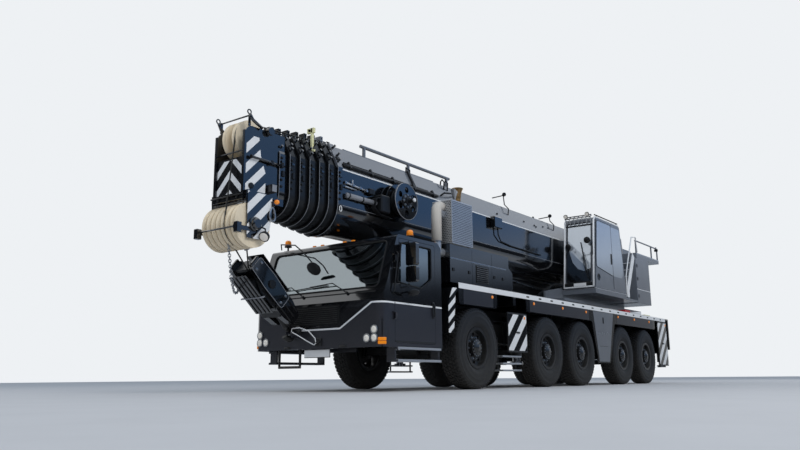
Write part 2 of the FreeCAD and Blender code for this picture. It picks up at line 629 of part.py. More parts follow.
def outrigger_beam(bottom, top):
    """Sliding beam of the left side with its jack tube and end cover, built round the box's middle."""
    x_span = (S.box_wall + S.slide_gap - S.box_length / 2, -(S.box_wall / 2) - S.slide_gap)
    x = (x_span[0] + x_span[1]) / 2
    z_span = (S.box_bottom + S.box_wall + S.pad_strip + S.seat_gap,
              S.box_bottom + S.box_height - S.box_wall - S.slide_gap)
    cover_in = S.half_width - S.cover_thickness
    parts = [box(x_span, (S.beam_tail, S.beam_end), z_span),
             rod("z", (x, S.jack_half, S.jack_tube_bottom), S.jack_tube_top - S.jack_tube_bottom,
                 S.jack_tube_radius),
             box((x - S.jack_tube_radius / 2, x + S.jack_tube_radius / 2), (S.jack_half, cover_in), z_span),
             box((-S.cover_length / 2, S.cover_length / 2), (cover_in, S.half_width), (bottom, top))]
    bore = rod("z", (x, S.jack_half, S.jack_tube_bottom - 1),
               S.jack_tube_top - S.jack_tube_bottom - S.box_wall,
               S.jack_rod_radius + S.running_gap)
    return cut(fuse(parts), [bore])


def outrigger_jack():
    """Jack rod with its foot, built round the box's middle."""
    x = (S.box_wall / 2 - S.box_length / 2) / 2
    foot_top = S.foot_bottom + S.foot_height
    return fuse([rod("z", (x, S.jack_half, S.foot_bottom), S.foot_height, S.foot_radius),
                 rod("z", (x, S.jack_half, foot_top - 1), S.jack_tube_top - foot_top - S.box_wall * 2,
                     S.jack_rod_radius)])


def engine_cover():
    """Sheet cover over the engine, open at the bottom."""
    def outline(inset):
        return [(S.cover_rear_low + inset, S.deck_top), (S.cover_rear_low + inset, S.cover_step - inset),
                (S.cover_rear + inset, S.cover_step + S.edge_height - inset),
                (S.cover_rear + inset, S.cover_top - inset), (S.cover_front - inset, S.cover_top - inset),
                (S.cover_front - inset, S.deck_top)]
    outer = slab("XZ", outline(ZERO), -S.cover_half, S.cover_half)
    inner_half = S.cover_half - S.sheet_wall
    return cut(outer, [slab("XZ", outline(S.sheet_wall), -inner_half, inner_half)])


def exhaust():
    """Silencer box on the cover, the elbow pipe in front of it and the flared outlet on top."""
    y = (S.silencer_inner + S.cover_half) / 2
    x = S.silencer_front + S.pipe_radius * 2
    low, high = S.cover_top - S.pipe_radius * 2, S.silencer_top - S.pipe_radius * 3
    corners = []
    for z in (low, high):
        ball = doc.addObject("Part::Sphere", "Elbow")
        bind(ball, "Radius", S.pipe_radius)
        corners.append(place(ball, x, y, z))
    outlet_x = S.silencer_rear + S.pipe_radius * 2
    flare = doc.addObject("Part::Cone", "Flare")
    bind(flare, "Radius1", S.pipe_radius * 2 / 3)
    bind(flare, "Radius2", S.pipe_radius * 4 / 3)
    bind(flare, "Height", S.pipe_radius * 3)
    place(flare, outlet_x, y, S.silencer_top + S.pipe_radius)
    return fuse([
        box((S.silencer_rear, S.silencer_front), (S.silencer_inner, S.half_width),
            (S.cover_top, S.silencer_top)),
        rod("x", (S.cover_front, y, low), x - S.cover_front, S.pipe_radius),
        rod("z", (x, y, low), high - low, S.pipe_radius),
        rod("x", (S.silencer_front - 1, y, high), x - S.silencer_front + 1, S.pipe_radius),
        rod("z", (outlet_x, y, S.silencer_top - 1), S.pipe_radius + 2, S.pipe_radius * 2 / 3), flare,
        *corners])


keep("chassis_frame", chassis_frame())
keep("deck", deck())
for end, centre, bottom, top in (("front", S.box_front_centre, S.cover_front_bottom, S.cover_front_top),
                                 ("rear", S.box_rear_centre, S.cover_rear_bottom, S.cover_rear_top)):
    for side, sign in SIDES:
        turn = FreeCAD.Rotation() if sign > 0 else HALF_TURN
        keep(f"outrigger_beam_{end}_{side}", place(outrigger_beam(bottom, top), centre, ZERO, ZERO, turn))
        keep(f"outrigger_jack_{end}_{side}", place(outrigger_jack(), centre, ZERO, ZERO, turn))
keep("engine_cover", engine_cover())
keep("engine_block", box((S.engine_rear, S.engine_front), (-S.engine_half, S.engine_half),
                         (S.frame_top, S.engine_top)))
keep("exhaust", exhaust())


def cab_block(inset, bottom):
    """Outer form of the driver's cab, or its inside when inset by the wall."""
    side = [(S.cab_rear + inset, bottom), (S.cab_front - inset, bottom), (S.cab_front - inset, S.cab_belt),
            (S.screen_foot_x - inset, S.screen_foot_z),
            (S.roof_front - inset, S.roof_top - inset, S.cab_wall * 2),
            (S.roof_rear, S.roof_top - inset), (S.cab_rear + inset, S.roof_top - S.cab_wall * 2 - inset)]
    half = S.cab_half - inset
    corner = S.cab_corner - inset
    plan = [(S.cab_rear + inset, -half), (S.cab_front - inset, -half, corner),
            (S.cab_front - inset, half, corner),
            (S.cab_rear + inset, half)]
    return common(slab("XZ", side, -half, half), slab("XY", plan, bottom, S.roof_top))


def door_outline(gap):
    """Door in the side wall, smaller all round by the gap."""
    return [(S.door_rear + gap, S.door_bottom + gap, S.cab_wall),
            (S.door_front - gap, S.door_bottom + gap, S.cab_wall),
            (S.door_front - gap, S.pillar_knee), (S.door_front_head - gap, S.door_top - gap),
            (S.door_rear + gap, S.door_top - gap, S.cab_wall)]


def screen_outline(gap):
    round_corner = S.cab_wall * 2
    low, high = S.screen_bottom + gap, S.screen_top - gap
    half = S.screen_half - gap
    return [(-half, low, round_corner), (half, low, round_corner), (half, high, round_corner),
            (-half, high, round_corner)]


def rear_window_outline(gap):
    half = S.rear_window_half - gap
    return [(-half, S.screen_bottom + gap, S.cab_wall), (half, S.screen_bottom + gap, S.cab_wall),
            (half, S.window_top - gap, S.cab_wall), (-half, S.window_top - gap, S.cab_wall)]


LAMPS = ((0, 0), (1, 0), (0, 1))  # steps inwards from the outer lamp, steps up
hinge_x = S.door_front + S.panel_gap
hinge_y = S.cab_half + S.hinge_stand
hook_lean = FreeCAD.Rotation(FreeCAD.Vector(0, 1, 0), 90 - SIZES["block_lean_deg"])


def lamps(gap):
    """Round front lamps, three a side."""
    found = []
    for sign in (1, -1):
        for inward, up in LAMPS:
            y = (S.lamp_outer - S.lamp_pitch * inward) * sign
            z = S.lamp_low + (S.lamp_high - S.lamp_low) * up
            found.append(rod("x", (S.cab_front - S.cab_wall, y, z), S.cab_wall + S.lamp_proud,
                             S.lamp_radius + gap))
    return found


def lean(sine):
    """Sine or cosine of the hook block's lean, tied to the sheet."""
    radians = math.radians(SIZES["block_lean_deg"])
    if sine:
        return Size(math.sin(radians), "sin(Sizes.block_lean_deg * 1 deg)")
    return Size(math.cos(radians), "cos(Sizes.block_lean_deg * 1 deg)")


pin_drop = S.hook_drop + S.hook_ring - S.hook_bar - S.bumper_pin_radius - S.seat_gap
bumper_x = S.block_x - pin_drop * lean(False)
bumper_z = S.block_z - pin_drop * lean(True)


def cab_shell():
    """Hollow cab with a floor, windows and door openings cut, hinges, steps and the hook's bumper eye."""
    floor_top = S.nose_top + S.floor_thickness
    inner = S.cab_half - S.cab_wall
    tools = [cab_block(S.cab_wall, floor_top),
             box((S.cab_rear + S.cab_wall, S.cab_front - S.cab_wall), (-inner, inner),
                 (S.cab_bottom - 1, S.nose_top)),
             box((S.cab_rear - 1, S.cab_rear + S.cab_wall + 1),
                 (-S.frame_half - S.panel_gap, S.frame_half + S.panel_gap), (S.cab_bottom - 1, S.nose_top)),
             slab("YZ", screen_outline(ZERO), S.roof_front - S.cab_corner, S.cab_front),
             slab("YZ", rear_window_outline(ZERO), S.cab_rear - 1, S.cab_rear + S.cab_wall + 1),
             *lamps(S.pane_gap)]
    for sign in (1, -1):
        tools.append(slab("XZ", door_outline(ZERO), *y_span(sign, inner, S.cab_half + 1)))
    shell = cut(cab_block(ZERO, S.cab_bottom), tools)
    extras = []
    for sign in (1, -1):
        for z in (S.hinge_low, S.hinge_high):
            pin = rod("z", (hinge_x, hinge_y * sign, z - S.hinge_barrel_radius),
                      S.hinge_height + S.hinge_barrel_radius * 2,
                      S.hinge_pin_radius)
            extras.append(pin)
            for low in (z - S.hinge_barrel_radius, z + S.hinge_height + 1):
                extras.append(box((hinge_x, hinge_x + S.cab_wall),
                                  y_span(sign, S.cab_half - 1, hinge_y + S.hinge_pin_radius),
                                  (low, low + S.hinge_barrel_radius - 1)))
        extras.append(box((S.step_rear, S.step_front), y_span(sign, inner - S.cab_corner, S.cab_half),
                          (S.cab_bottom - S.step_thickness, S.cab_bottom)))
        extras.append(box((S.step_rear, S.step_front), y_span(sign, inner - S.cab_corner, S.cab_half),
                          (S.step_low, S.step_low + S.step_thickness)))
        for x in (S.step_rear, S.step_front - S.step_thickness):
            extras.append(box((x, x + S.step_thickness), y_span(sign, inner - S.cab_corner, inner),
                              (S.step_low, S.cab_bottom)))
    eye_reach = S.bumper_pin_radius + S.hook_bar + S.slide_gap
    ear = [(S.cab_front - 1, bumper_z - eye_reach),
           (bumper_x + S.hook_bar, bumper_z - S.bumper_pin_radius * 2),
           (bumper_x + S.hook_bar, bumper_z + S.bumper_pin_radius * 2),
           (S.cab_front - 1, bumper_z + eye_reach)]
    in_face = S.hook_bar + S.slide_gap
    out_face = in_face + S.bumper_pin_radius
    extras.append(slab("XZ", ear, S.hook_y + in_face, S.hook_y + out_face))
    extras.append(slab("XZ", ear, S.hook_y - out_face, S.hook_y - in_face))
    extras.append(rod("y", (bumper_x, S.hook_y - out_face, bumper_z), out_face * 2, S.bumper_pin_radius))
    return fuse([shell, *extras])


def cab_glass():
    """Windscreen, rear pane and the round lamp lenses."""
    floor_top = S.nose_top + S.floor_thickness
    skin = cut(cab_block(S.pane_depth, floor_top),
               [cab_block(S.pane_depth + S.pane_thickness, floor_top - 1)])
    screen = common(skin, slab("YZ", screen_outline(S.pane_gap), S.roof_front - S.cab_corner, S.cab_front))
    pane = slab("YZ", rear_window_outline(S.pane_gap), S.cab_rear + S.pane_depth,
                S.cab_rear + S.pane_depth + S.pane_thickness)
    return group([screen, pane, *lamps(ZERO)])


def seat(y):
    """Suspension seat: pedestal, cushion and backrest in one side profile."""
    floor = S.nose_top + S.floor_thickness
    x = S.cab_rear + S.cab_wall * 3
    rise = S.seat_half
    side = [(x + rise / 2, floor), (x + rise * 2, floor), (x + rise * 2, floor + rise),
            (x + rise * 3, floor + rise),
            (x + rise * 3, floor + rise * 3 / 2, S.cab_wall), (x + rise * 3 / 4, floor + rise * 3 / 2),
            (x + rise / 3, floor + rise * 17 / 4, S.cab_wall), (x, floor + rise * 17 / 4, S.cab_wall),
            (x, floor + rise)]
    return slab("XZ", side, y - S.seat_half, y + S.seat_half)


def cab_interior():
    """Two seats, the dashboard on its base and the steering wheel on its column."""
    floor = S.nose_top + S.floor_thickness
    front = S.cab_front - S.cab_wall * 2
    dash = [(front - S.seat_half, floor), (front, floor), (front, S.cab_belt - S.cab_wall),
            (front - S.cab_wall * 2, S.screen_foot_z - S.cab_wall),
            (front - S.seat_half * 5 / 3, S.screen_foot_z - S.cab_wall),
            (front - S.seat_half * 5 / 3, S.cab_belt), (front - S.seat_half, S.cab_belt - S.seat_half / 2)]
    dash_half = S.screen_half - S.cab_wall
    x = front - S.seat_half * 2
    z = S.screen_foot_z + S.cab_wall * 2
    tilt = FreeCAD.Rotation(FreeCAD.Vector(0, 1, 0), -25)
    ring = turned(ring_profile(S.wheel_rim_radius, S.wheel_rim_bar, 8))
    place(ring, x, S.seat_y, z, tilt * TURNS["y"].inverted())
    spoke = doc.addObject("Part::Box", "Spoke")
    for name, size in (("Length", S.wheel_rim_bar * 4), ("Width", S.wheel_rim_radius * 2),
                       ("Height", S.wheel_rim_bar)):
        bind(spoke, name, size)
    place(spoke, x - S.wheel_rim_bar * 8 / 5, S.seat_y - S.wheel_rim_radius, z - S.wheel_rim_bar * 13 / 10,
          tilt)
    column = rod("z", (x, S.seat_y, z), S.seat_half * 3 / 2, S.wheel_rim_bar * 2)
    column.Placement = FreeCAD.Placement(column.Placement.Base,
                                         FreeCAD.Rotation(FreeCAD.Vector(0, 1, 0), 155))
    return group([seat(S.seat_y), seat(-S.seat_y),
                  fuse([slab("XZ", dash, -dash_half, dash_half), ring, spoke, column])])


def cab_door():
    """Left door: frame with its window cut, hinge barrels, and the mirrors that swing with it."""
    window = [(S.window_low_x, S.window_sill_low, S.cab_wall),
              (S.window_front_foot, S.window_sill_front, S.cab_wall),
              (S.window_front_head, S.window_top, S.cab_wall), (S.window_rear, S.window_top, S.cab_wall),
              (S.window_rear, S.window_sill_rear, S.cab_wall)]
    parts = [slab("XZ", door_outline(S.panel_gap), S.cab_half - S.cab_wall + S.slide_gap, S.cab_half,
                  [window])]
    bores = []
    for z in (S.hinge_low, S.hinge_high):
        parts.append(rod("z", (hinge_x, hinge_y, z), S.hinge_height, S.hinge_barrel_radius))
        strap = (hinge_y - S.hinge_barrel_radius, hinge_y - S.hinge_barrel_radius / 2)
        parts.append(box((hinge_x - S.cab_wall * 3, hinge_x - S.cab_wall * 2), (S.cab_half - 1, strap[1]),
                         (z, z + S.hinge_height)))
        parts.append(box((hinge_x - S.cab_wall * 3, hinge_x), strap, (z, z + S.hinge_height)))
        bores.append(rod("z", (hinge_x, hinge_y, z - 1), S.hinge_height + 2,
                         S.hinge_pin_radius + S.running_gap))
    x_span = (S.mirror_x - S.mirror_depth / 2, S.mirror_x + S.mirror_depth / 2)
    arm = S.mirror_depth / 8
    for low, high in ((S.mirror_split + S.panel_gap, S.mirror_top),
                      (S.mirror_low, S.mirror_split - S.panel_gap)):
        housing = [(S.mirror_in, low, S.mirror_corner), (S.mirror_out, low, S.mirror_corner),
                   (S.mirror_out, high, S.mirror_corner), (S.mirror_in, high, S.mirror_corner)]
        parts.append(slab("YZ", housing, *x_span))
    tube_y = S.mirror_in + S.mirror_corner
    parts.append(rod("z", (S.mirror_x, tube_y, S.mirror_low - S.cab_wall),
                     S.mirror_top - S.mirror_low + S.cab_wall * 2, arm))
    for z in (S.mirror_top + S.cab_wall / 2, S.window_sill_low - S.cab_wall / 2 + S.panel_gap):
        parts.append(rod("y", (S.mirror_x, S.cab_half - 1, z), tube_y - S.cab_half + 1, arm))
    return cut(fuse(parts), bores)


keep("cab_shell", cab_shell())
keep("cab_glass", cab_glass())
keep("cab_interior", cab_interior())
left_door = keep("door_left", cab_door())
keep("door_right", mirrored(left_door))


def booth_outline(inset):
    """Side view of the crane cab, leaning back at the front and forward at the rear."""
    fold = S.booth_wall * 3
    return [(S.booth_rear_foot + inset, S.booth_bottom + inset),
            (S.booth_front_foot - inset, S.booth_bottom + inset),
            (S.booth_front_head - inset, S.booth_top - inset, fold - inset),
            (S.booth_rear_head + inset, S.booth_top - inset, fold - inset)]


def booth_screen(gap):
    edge = S.booth_wall * 2 + gap
    low, high = S.booth_screen_bottom + gap, S.booth_window_top - gap
    return [(S.booth_inner + edge, low, S.booth_wall), (S.booth_outer - edge, low, S.booth_wall),
            (S.booth_outer - edge, high, S.booth_wall), (S.booth_inner + edge, high, S.booth_wall)]


def booth_doorway(grow):
    """Opening of the sliding door, or the door itself when grown."""
    low = S.booth_bottom + S.booth_wall * 2
    front = S.booth_wall * 3
    return [(S.booth_door_rear - grow, low - grow), (S.booth_front_foot - front + grow, low - grow),
            (S.booth_front_head - front + grow, S.booth_window_top + S.booth_wall + grow, S.booth_wall),
            (S.booth_door_rear - grow, S.booth_window_top + S.booth_wall + grow)]


def booth_side_window(front, gap):
    return [(S.booth_side_rear + gap, S.booth_window_sill + gap, S.booth_wall),
            (front - gap, S.booth_window_sill + gap, S.booth_wall),
            (front - gap, S.booth_window_top - gap, S.booth_wall),
            (S.booth_side_rear + gap, S.booth_window_top - gap, S.booth_wall)]


booth_mid = (S.booth_inner + S.booth_outer) / 2
ledge_z = S.booth_bottom + S.booth_rail


def booth_shell():
    """Crane cab: hollow, with windows and doorway cut, door rails and the lugs of its tilting hinge."""
    tools = [slab("XZ", booth_outline(S.booth_wall), S.booth_inner + S.booth_wall,
                  S.booth_outer - S.booth_wall),
             slab("YZ", booth_screen(ZERO), -S.booth_wall, S.booth_front_foot),
             slab("YZ", booth_screen(ZERO), S.booth_rear_foot, S.booth_side_rear),
             slab("XZ", booth_doorway(ZERO), S.booth_outer - S.booth_wall - 1, S.booth_outer + 1),
             slab("XZ", booth_side_window(S.booth_side_front, ZERO), S.booth_outer - S.booth_wall - 1,
                  S.booth_outer + 1),
             slab("XZ", booth_side_window(S.booth_right_front, ZERO), S.booth_inner - 1,
                  S.booth_inner + S.booth_wall + 1)]
    shell = cut(slab("XZ", booth_outline(ZERO), S.booth_inner, S.booth_outer), tools)
    parts = [shell, box((S.booth_rear_foot + S.booth_rail * 2, S.booth_front_foot - S.booth_rail),
                        (S.booth_outer, S.booth_outer + S.booth_rail), (S.booth_bottom, ledge_z))]
    bores = []
    for sign in (1, -1):
        y = booth_mid + S.booth_hinge_spread * sign
        y_low = y - S.booth_lug_width / 2
        parts.append(box((S.booth_hinge_x - S.booth_rail, S.booth_hinge_x + S.booth_rail),
                         (y_low, y + S.booth_lug_width / 2),
                         (S.booth_hinge_z, S.booth_bottom + 1)))
        parts.append(rod("y", (S.booth_hinge_x, y_low, S.booth_hinge_z), S.booth_lug_width, S.booth_rail))
        bores.append(rod("y", (S.booth_hinge_x, y_low - 1, S.booth_hinge_z), S.booth_lug_width + 2,
                         S.booth_pin_radius + S.running_gap))
    return cut(fuse(parts), bores)


def booth_glass():
    """Windscreen, rear pane and the fixed side panes."""
    depth = S.pane_depth + S.pane_thickness
    skin = cut(slab("XZ", booth_outline(S.pane_depth), S.booth_inner + S.pane_depth,
                    S.booth_outer - S.pane_depth),
               [slab("XZ", booth_outline(depth), S.booth_inner + depth, S.booth_outer - depth)])
    front = common(skin, slab("YZ", booth_screen(S.pane_gap), -S.booth_wall, S.booth_front_foot))
    rear = common(skin, slab("YZ", booth_screen(S.pane_gap), S.booth_rear_foot, S.booth_side_rear))
    outer = slab("XZ", booth_side_window(S.booth_side_front, S.pane_gap), S.booth_outer - depth,
                 S.booth_outer - S.pane_depth)
    inner = slab("XZ", booth_side_window(S.booth_right_front, S.pane_gap), S.booth_inner + S.pane_depth,
                 S.booth_inner + depth)
    return group([front, rear, outer, inner])


def booth_interior():
    """Operator's seat with an armrest console on each side."""
    floor = S.booth_bottom + S.booth_wall
    rise = S.seat_half
    x = (S.booth_rear_head + S.booth_side_front) / 2
    side = [(x + rise / 2, floor), (x + rise * 2, floor), (x + rise * 2, floor + rise),
            (x + rise * 3, floor + rise),
            (x + rise * 3, floor + rise * 3 / 2, S.booth_wall), (x + rise * 3 / 4, floor + rise * 3 / 2),
            (x + rise / 3, floor + rise * 4, S.booth_wall), (x, floor + rise * 4, S.booth_wall),
            (x, floor + rise)]
    inner, outer = S.booth_inner + S.booth_wall, S.booth_outer - S.booth_wall
    console = S.console_gap + S.console_width
    chair = slab("XZ", side, inner + console + S.booth_wall / 2, outer - console - S.booth_wall / 2)
    arms = [box((x + rise, x + rise * 3), (low, low + S.console_width), (floor, floor + rise * 5 / 2))
            for low in (inner + S.console_gap, outer - console)]
    return group([chair, *arms])


def booth_door():
    """Sliding door on its ledge, with its window cut."""
    grow = S.booth_bottom + S.booth_wall * 2 - ledge_z - S.seat_gap
    edge = S.booth_wall * 2
    window = [(S.booth_door_rear + edge, S.booth_window_sill, S.booth_wall),
              (S.booth_front_head + S.booth_wall - edge, S.booth_window_sill, S.booth_wall),
              (S.booth_front_head - edge * 2, S.booth_window_top - S.booth_wall, S.booth_wall),
              (S.booth_door_rear + edge, S.booth_window_top - S.booth_wall, S.booth_wall)]
    inside = S.booth_outer + S.slide_gap
    return slab("XZ", booth_doorway(grow), inside, inside + S.booth_door_thickness, [window])


keep("crane_cab_shell", booth_shell())
keep("crane_cab_glass", booth_glass())
keep("crane_cab_interior", booth_interior())
keep("crane_cab_door", booth_door())


def cheek(sign):
    """One of the two big side plates that carry the boom's pivot, the winch and the luffing cylinder."""
    side = [(S.bed_front, S.ring_top), (S.bed_front,
                                        S.ring_top + S.bed_top - S.ring_top + S.edge_height * 2),
            (S.cheek_waist_x, S.cheek_waist_z), (S.cheek_knee_x, S.cheek_knee_z),
            (S.cheek_shoulder_x, S.cheek_top),
            (S.bed_rear + S.canopy_depth * 3, S.cheek_top), (S.bed_rear, S.tail_top),
            (S.tail_end + S.canopy_depth, S.tail_top), (S.tail_end, S.drum_z),
            (S.tail_end + S.canopy_depth, S.tail_bottom),
            (S.bed_rear, S.tail_bottom - S.canopy_depth), (S.bed_rear, S.ring_top)]
    return slab("XZ", side, *y_span(sign, S.cheek_inner, S.cheek_inner + S.cheek_thickness))


def stair():
    """Steps up behind the crane cab, with their stringers and handrails."""
    steps = 5
    outer = S.locker_half
    parts = []
    for i in range(steps):
        x = S.stair_foot_x - S.stair_run * i
        z = S.stair_foot_z + S.stair_rise * i
        parts.append(box((x - S.stair_depth, x), (S.stair_inner, outer), (z, z + S.fender_sheet * 2)))
    run, rise = S.stair_run * steps, S.stair_rise * steps
    top_x, top_z = S.stair_foot_x - run, S.stair_foot_z + rise
    stringer = [(S.stair_foot_x - S.stair_depth, S.platform_top - S.platform_thickness),
                (S.stair_foot_x, S.platform_top - S.platform_thickness),
                (S.stair_foot_x, S.stair_foot_z + S.stair_run),
                (top_x, top_z + S.stair_run), (top_x - S.stair_depth, top_z),
                (S.stair_foot_x - S.stair_depth, S.stair_foot_z)]
    for y in (S.stair_inner, outer - S.fender_sheet * 2):
        parts.append(slab("XZ", stringer, y, y + S.fender_sheet * 2))
    return parts


def slewing_platform():
    """Superstructure frame on the slewing ring: cheeks, pins, cab platform, lockers, stair and rails."""
    parts = [rod("z", (ZERO, ZERO, S.pedestal_top + S.seat_gap), S.ring_top - S.pedestal_top,
                 S.ring_radius),
             box((S.bed_rear, S.bed_front), (-S.bed_half, S.bed_half), (S.ring_top, S.bed_top)),
             cheek(1), cheek(-1)]
    pin_half = S.cheek_inner + S.cheek_thickness
    for x, z, radius in ((S.pivot_x, S.pivot_z, S.pivot_radius),
                         (S.luff_base_x, S.luff_base_z, S.luff_pin_radius),
                         (S.drum_x, S.drum_z, S.drum_shaft)):
        parts.append(rod("y", (x, -pin_half, z), pin_half * 2, radius - S.running_gap))
    deck_low = S.platform_top - S.platform_thickness
    rear_edge = S.platform_rear
    parts += [box((rear_edge, S.platform_front), (S.cheek_inner, S.half_width), (deck_low, S.platform_top)),
              box((S.locker_front, rear_edge), (S.cheek_inner, S.locker_half),
                  (deck_low, S.platform_top - S.platform_thickness / 2)),
              box((S.hydraulic_rear, S.hydraulic_front), (-S.locker_half, -S.cheek_inner),
                  (S.bed_top - 1, S.hydraulic_top))]
    for sign in (1, -1):
        parts.append(box((S.locker_rear, S.locker_front), y_span(sign, S.cheek_inner, S.locker_half),
                         (S.locker_bottom, S.locker_top)))
        parts.append(box((S.tail_end, S.locker_front - S.beam_width),
                         y_span(sign, S.cheek_inner, S.locker_half),
                         (S.canopy_bottom, S.canopy_bottom + S.canopy_depth)))
        parts.append(box((S.locker_rear, S.locker_front - S.beam_width),
                         y_span(sign, S.cheek_inner, S.locker_half),
                         (S.locker_top, S.canopy_bottom)))
        rail_y = (S.locker_half - S.rail_bar) * sign
        for x in (S.tail_end + S.rail_bar * 2, S.drum_x + S.edge_height,
                  S.locker_front - S.beam_width - S.rail_bar * 2):
            parts.append(rod("z", (x, rail_y, S.canopy_bottom + S.canopy_depth - 1),
                             S.tail_top - S.canopy_bottom - S.canopy_depth,
                             S.rail_bar))
        parts.append(rod("x", (S.tail_end + S.rail_bar, rail_y, S.tail_top),
                         S.locker_front - S.beam_width - S.rail_bar * 2 - S.tail_end,
                         S.rail_bar))
        y = booth_mid + S.booth_hinge_spread * sign
        lug = S.booth_lug_width / 2
        pin_reach = lug + S.slide_gap + S.booth_rail
        ear_top = S.booth_hinge_z + S.booth_pin_radius + S.slide_gap
        for low in (y - pin_reach, y + lug + S.slide_gap):
            parts.append(box((S.booth_hinge_x - S.booth_rail, rear_edge), (low, low + S.booth_rail),
                             (deck_low, ear_top)))
        parts.append(rod("y", (S.booth_hinge_x, y - pin_reach, S.booth_hinge_z), pin_reach * 2,
                         S.booth_pin_radius))
        parts.append(box((S.platform_front - S.booth_rail * 5, S.platform_front - S.booth_rail),
                         (y - lug, y + lug),
                         (S.platform_top, S.booth_bottom - S.seat_gap)))
    pocket = [box((S.booth_hinge_x - S.booth_rail * 2, rear_edge),
                  (booth_mid + S.booth_hinge_spread * sign - S.booth_lug_width / 2 - S.slide_gap,
                   booth_mid + S.booth_hinge_spread * sign + S.booth_lug_width / 2 + S.slide_gap),
                  (deck_low - 1, S.platform_top)) for sign in (1, -1)]
    whole = cut(fuse(parts + stair()), pocket)
    pins = [rod("y", (S.booth_hinge_x, booth_mid + S.booth_hinge_spread * sign - S.booth_lug_width,
                      S.booth_hinge_z),
                S.booth_lug_width * 2, S.booth_pin_radius) for sign in (1, -1)]
    return fuse([whole, *pins])


def winch_drum():
    half = S.drum_half
    wall = S.foot_plate
    return turned([(S.drum_shaft, -half), (S.drum_flange, -half), (S.drum_flange, wall - half),
                   (S.drum_core, wall - half),
                   (S.drum_core, half - wall), (S.drum_flange, half - wall), (S.drum_flange, half),
                   (S.drum_shaft, half)])


keep("slewing_platform", slewing_platform())
keep("winch_drum", place(winch_drum(), S.drum_x, ZERO, S.drum_z))


def along(value_z, value_x):
    """Angle in degrees of a slope, tied to the sheet."""
    return Size(math.degrees(math.atan2(float(value_z), float(value_x))),
                f"atan2({value_z.text}; {value_x.text})")


def reach(value_z, value_x):
    """Length of a slope, tied to the sheet."""
    return Size(math.hypot(float(value_z), float(value_x)),
                f"sqrt({value_z.text} ^ 2 + {value_x.text} ^ 2)")


luff_rise = S.luff_eye_z - S.luff_base_z
luff_run = S.luff_eye_x - S.luff_base_x
luff_angle = along(luff_rise, luff_run)
luff_length = reach(luff_rise, luff_run)


def on_luff_line(thing):
    """Turns a piece built along X from the origin onto the line of the luffing cylinder."""
    turn = FreeCAD.Rotation(FreeCAD.Vector(0, -1, 0), float(luff_angle))
    place(thing, S.luff_base_x, ZERO, S.luff_base_z, turn)
    bind(thing, "Placement.Rotation.Angle", luff_angle)
    return thing


def luffing_barrel():
    eye = rod("y", (ZERO, -S.eye_width / 2, ZERO), S.eye_width, S.luff_ear_reach)
    tube = rod("x", (S.luff_pin_radius, ZERO, ZERO), S.barrel_length - S.luff_pin_radius, S.barrel_radius)
    bore = rod("x", (S.luff_ear_reach * 3, ZERO, ZERO), S.barrel_length, S.rod_radius + S.running_gap)
    pin = rod("y", (ZERO, -S.barrel_radius, ZERO), S.barrel_radius * 2, S.luff_pin_radius)
    return on_luff_line(cut(fuse([eye, tube]), [bore, pin]))


def luffing_rod():
    start = S.luff_ear_reach * 4
    neck = luff_length - S.barrel_radius * 2
    eye_half = S.eye_width / 2
    bar = rod("x", (start, ZERO, ZERO), neck - start, S.rod_radius)
    flat = box((neck - 1, luff_length), (-eye_half, eye_half), (-S.luff_pin_radius, S.luff_pin_radius))
    eye = rod("y", (luff_length, -eye_half, ZERO), S.eye_width, S.pivot_radius)
    pin = rod("y", (luff_length, -S.eye_width, ZERO), S.eye_width * 2, S.luff_pin_radius)
    return on_luff_line(cut(fuse([bar, flat, eye]), [pin]))


keep("luffing_barrel", luffing_barrel())
keep("luffing_rod", luffing_rod())


def tan_half(value_z, value_x):
    """Tangent of half a slope's angle, tied to the sheet."""
    half = math.atan2(float(value_z), float(value_x)) / 2
    return Size(math.tan(half), f"tan(atan2({value_z.text}; {value_x.text}) / 2)")


chamfer_drop = S.boom_top - S.boom_shoulder
chamfer_run = S.boom_half - S.boom_top_half
top_share = tan_half(chamfer_drop, chamfer_run)
side_share = tan_half(chamfer_run, chamfer_drop)


def section_outline(inset):
    """Boom section: round trough below, straight sides, bevelled shoulders and a flat top."""
    half = S.boom_half - inset
    shoulder = S.boom_shoulder - side_share * inset
    top = S.boom_top - inset
    top_half = S.boom_top_half - top_share * inset
    low = S.boom_bottom + inset
    fold = S.boom_round - inset
    return [(-half, low, fold), (half, low, fold), (half, shoulder), (top_half, top), (-top_half, top),
            (-half, shoulder)]


def section_tube(inset, rear, front):
    return slab("YZ", section_outline(inset), rear, front, [section_outline(inset + S.boom_wall)])


def section_inset(number):
    return (S.boom_wall + S.section_gap) * number


def section_front(number):
    return S.boom_front + S.section_pitch * number


def collar(number):
    """Stiffened front end of a section with the locking lug on top."""
    inset = Size.of(section_inset(number))
    front = section_front(number)
    ring = slab("YZ", section_outline(inset - S.collar_thickness), front - S.collar_length, front,
                [section_outline(inset + S.boom_wall / 2)])
    top = S.boom_top - inset
    lug = box((front - S.collar_length * 3 / 4, front - S.collar_length / 4), (-S.lug_half, S.lug_half),
              (top, top + S.lug_rise))
    holes = [rod("y", (front - S.collar_length / 2, -S.lug_half - 1, top + S.lug_rise * share),
                 S.lug_half * 2 + 2,
                 S.lug_hole) for share in LUG_HOLES]
    return [ring, cut(lug, holes)]


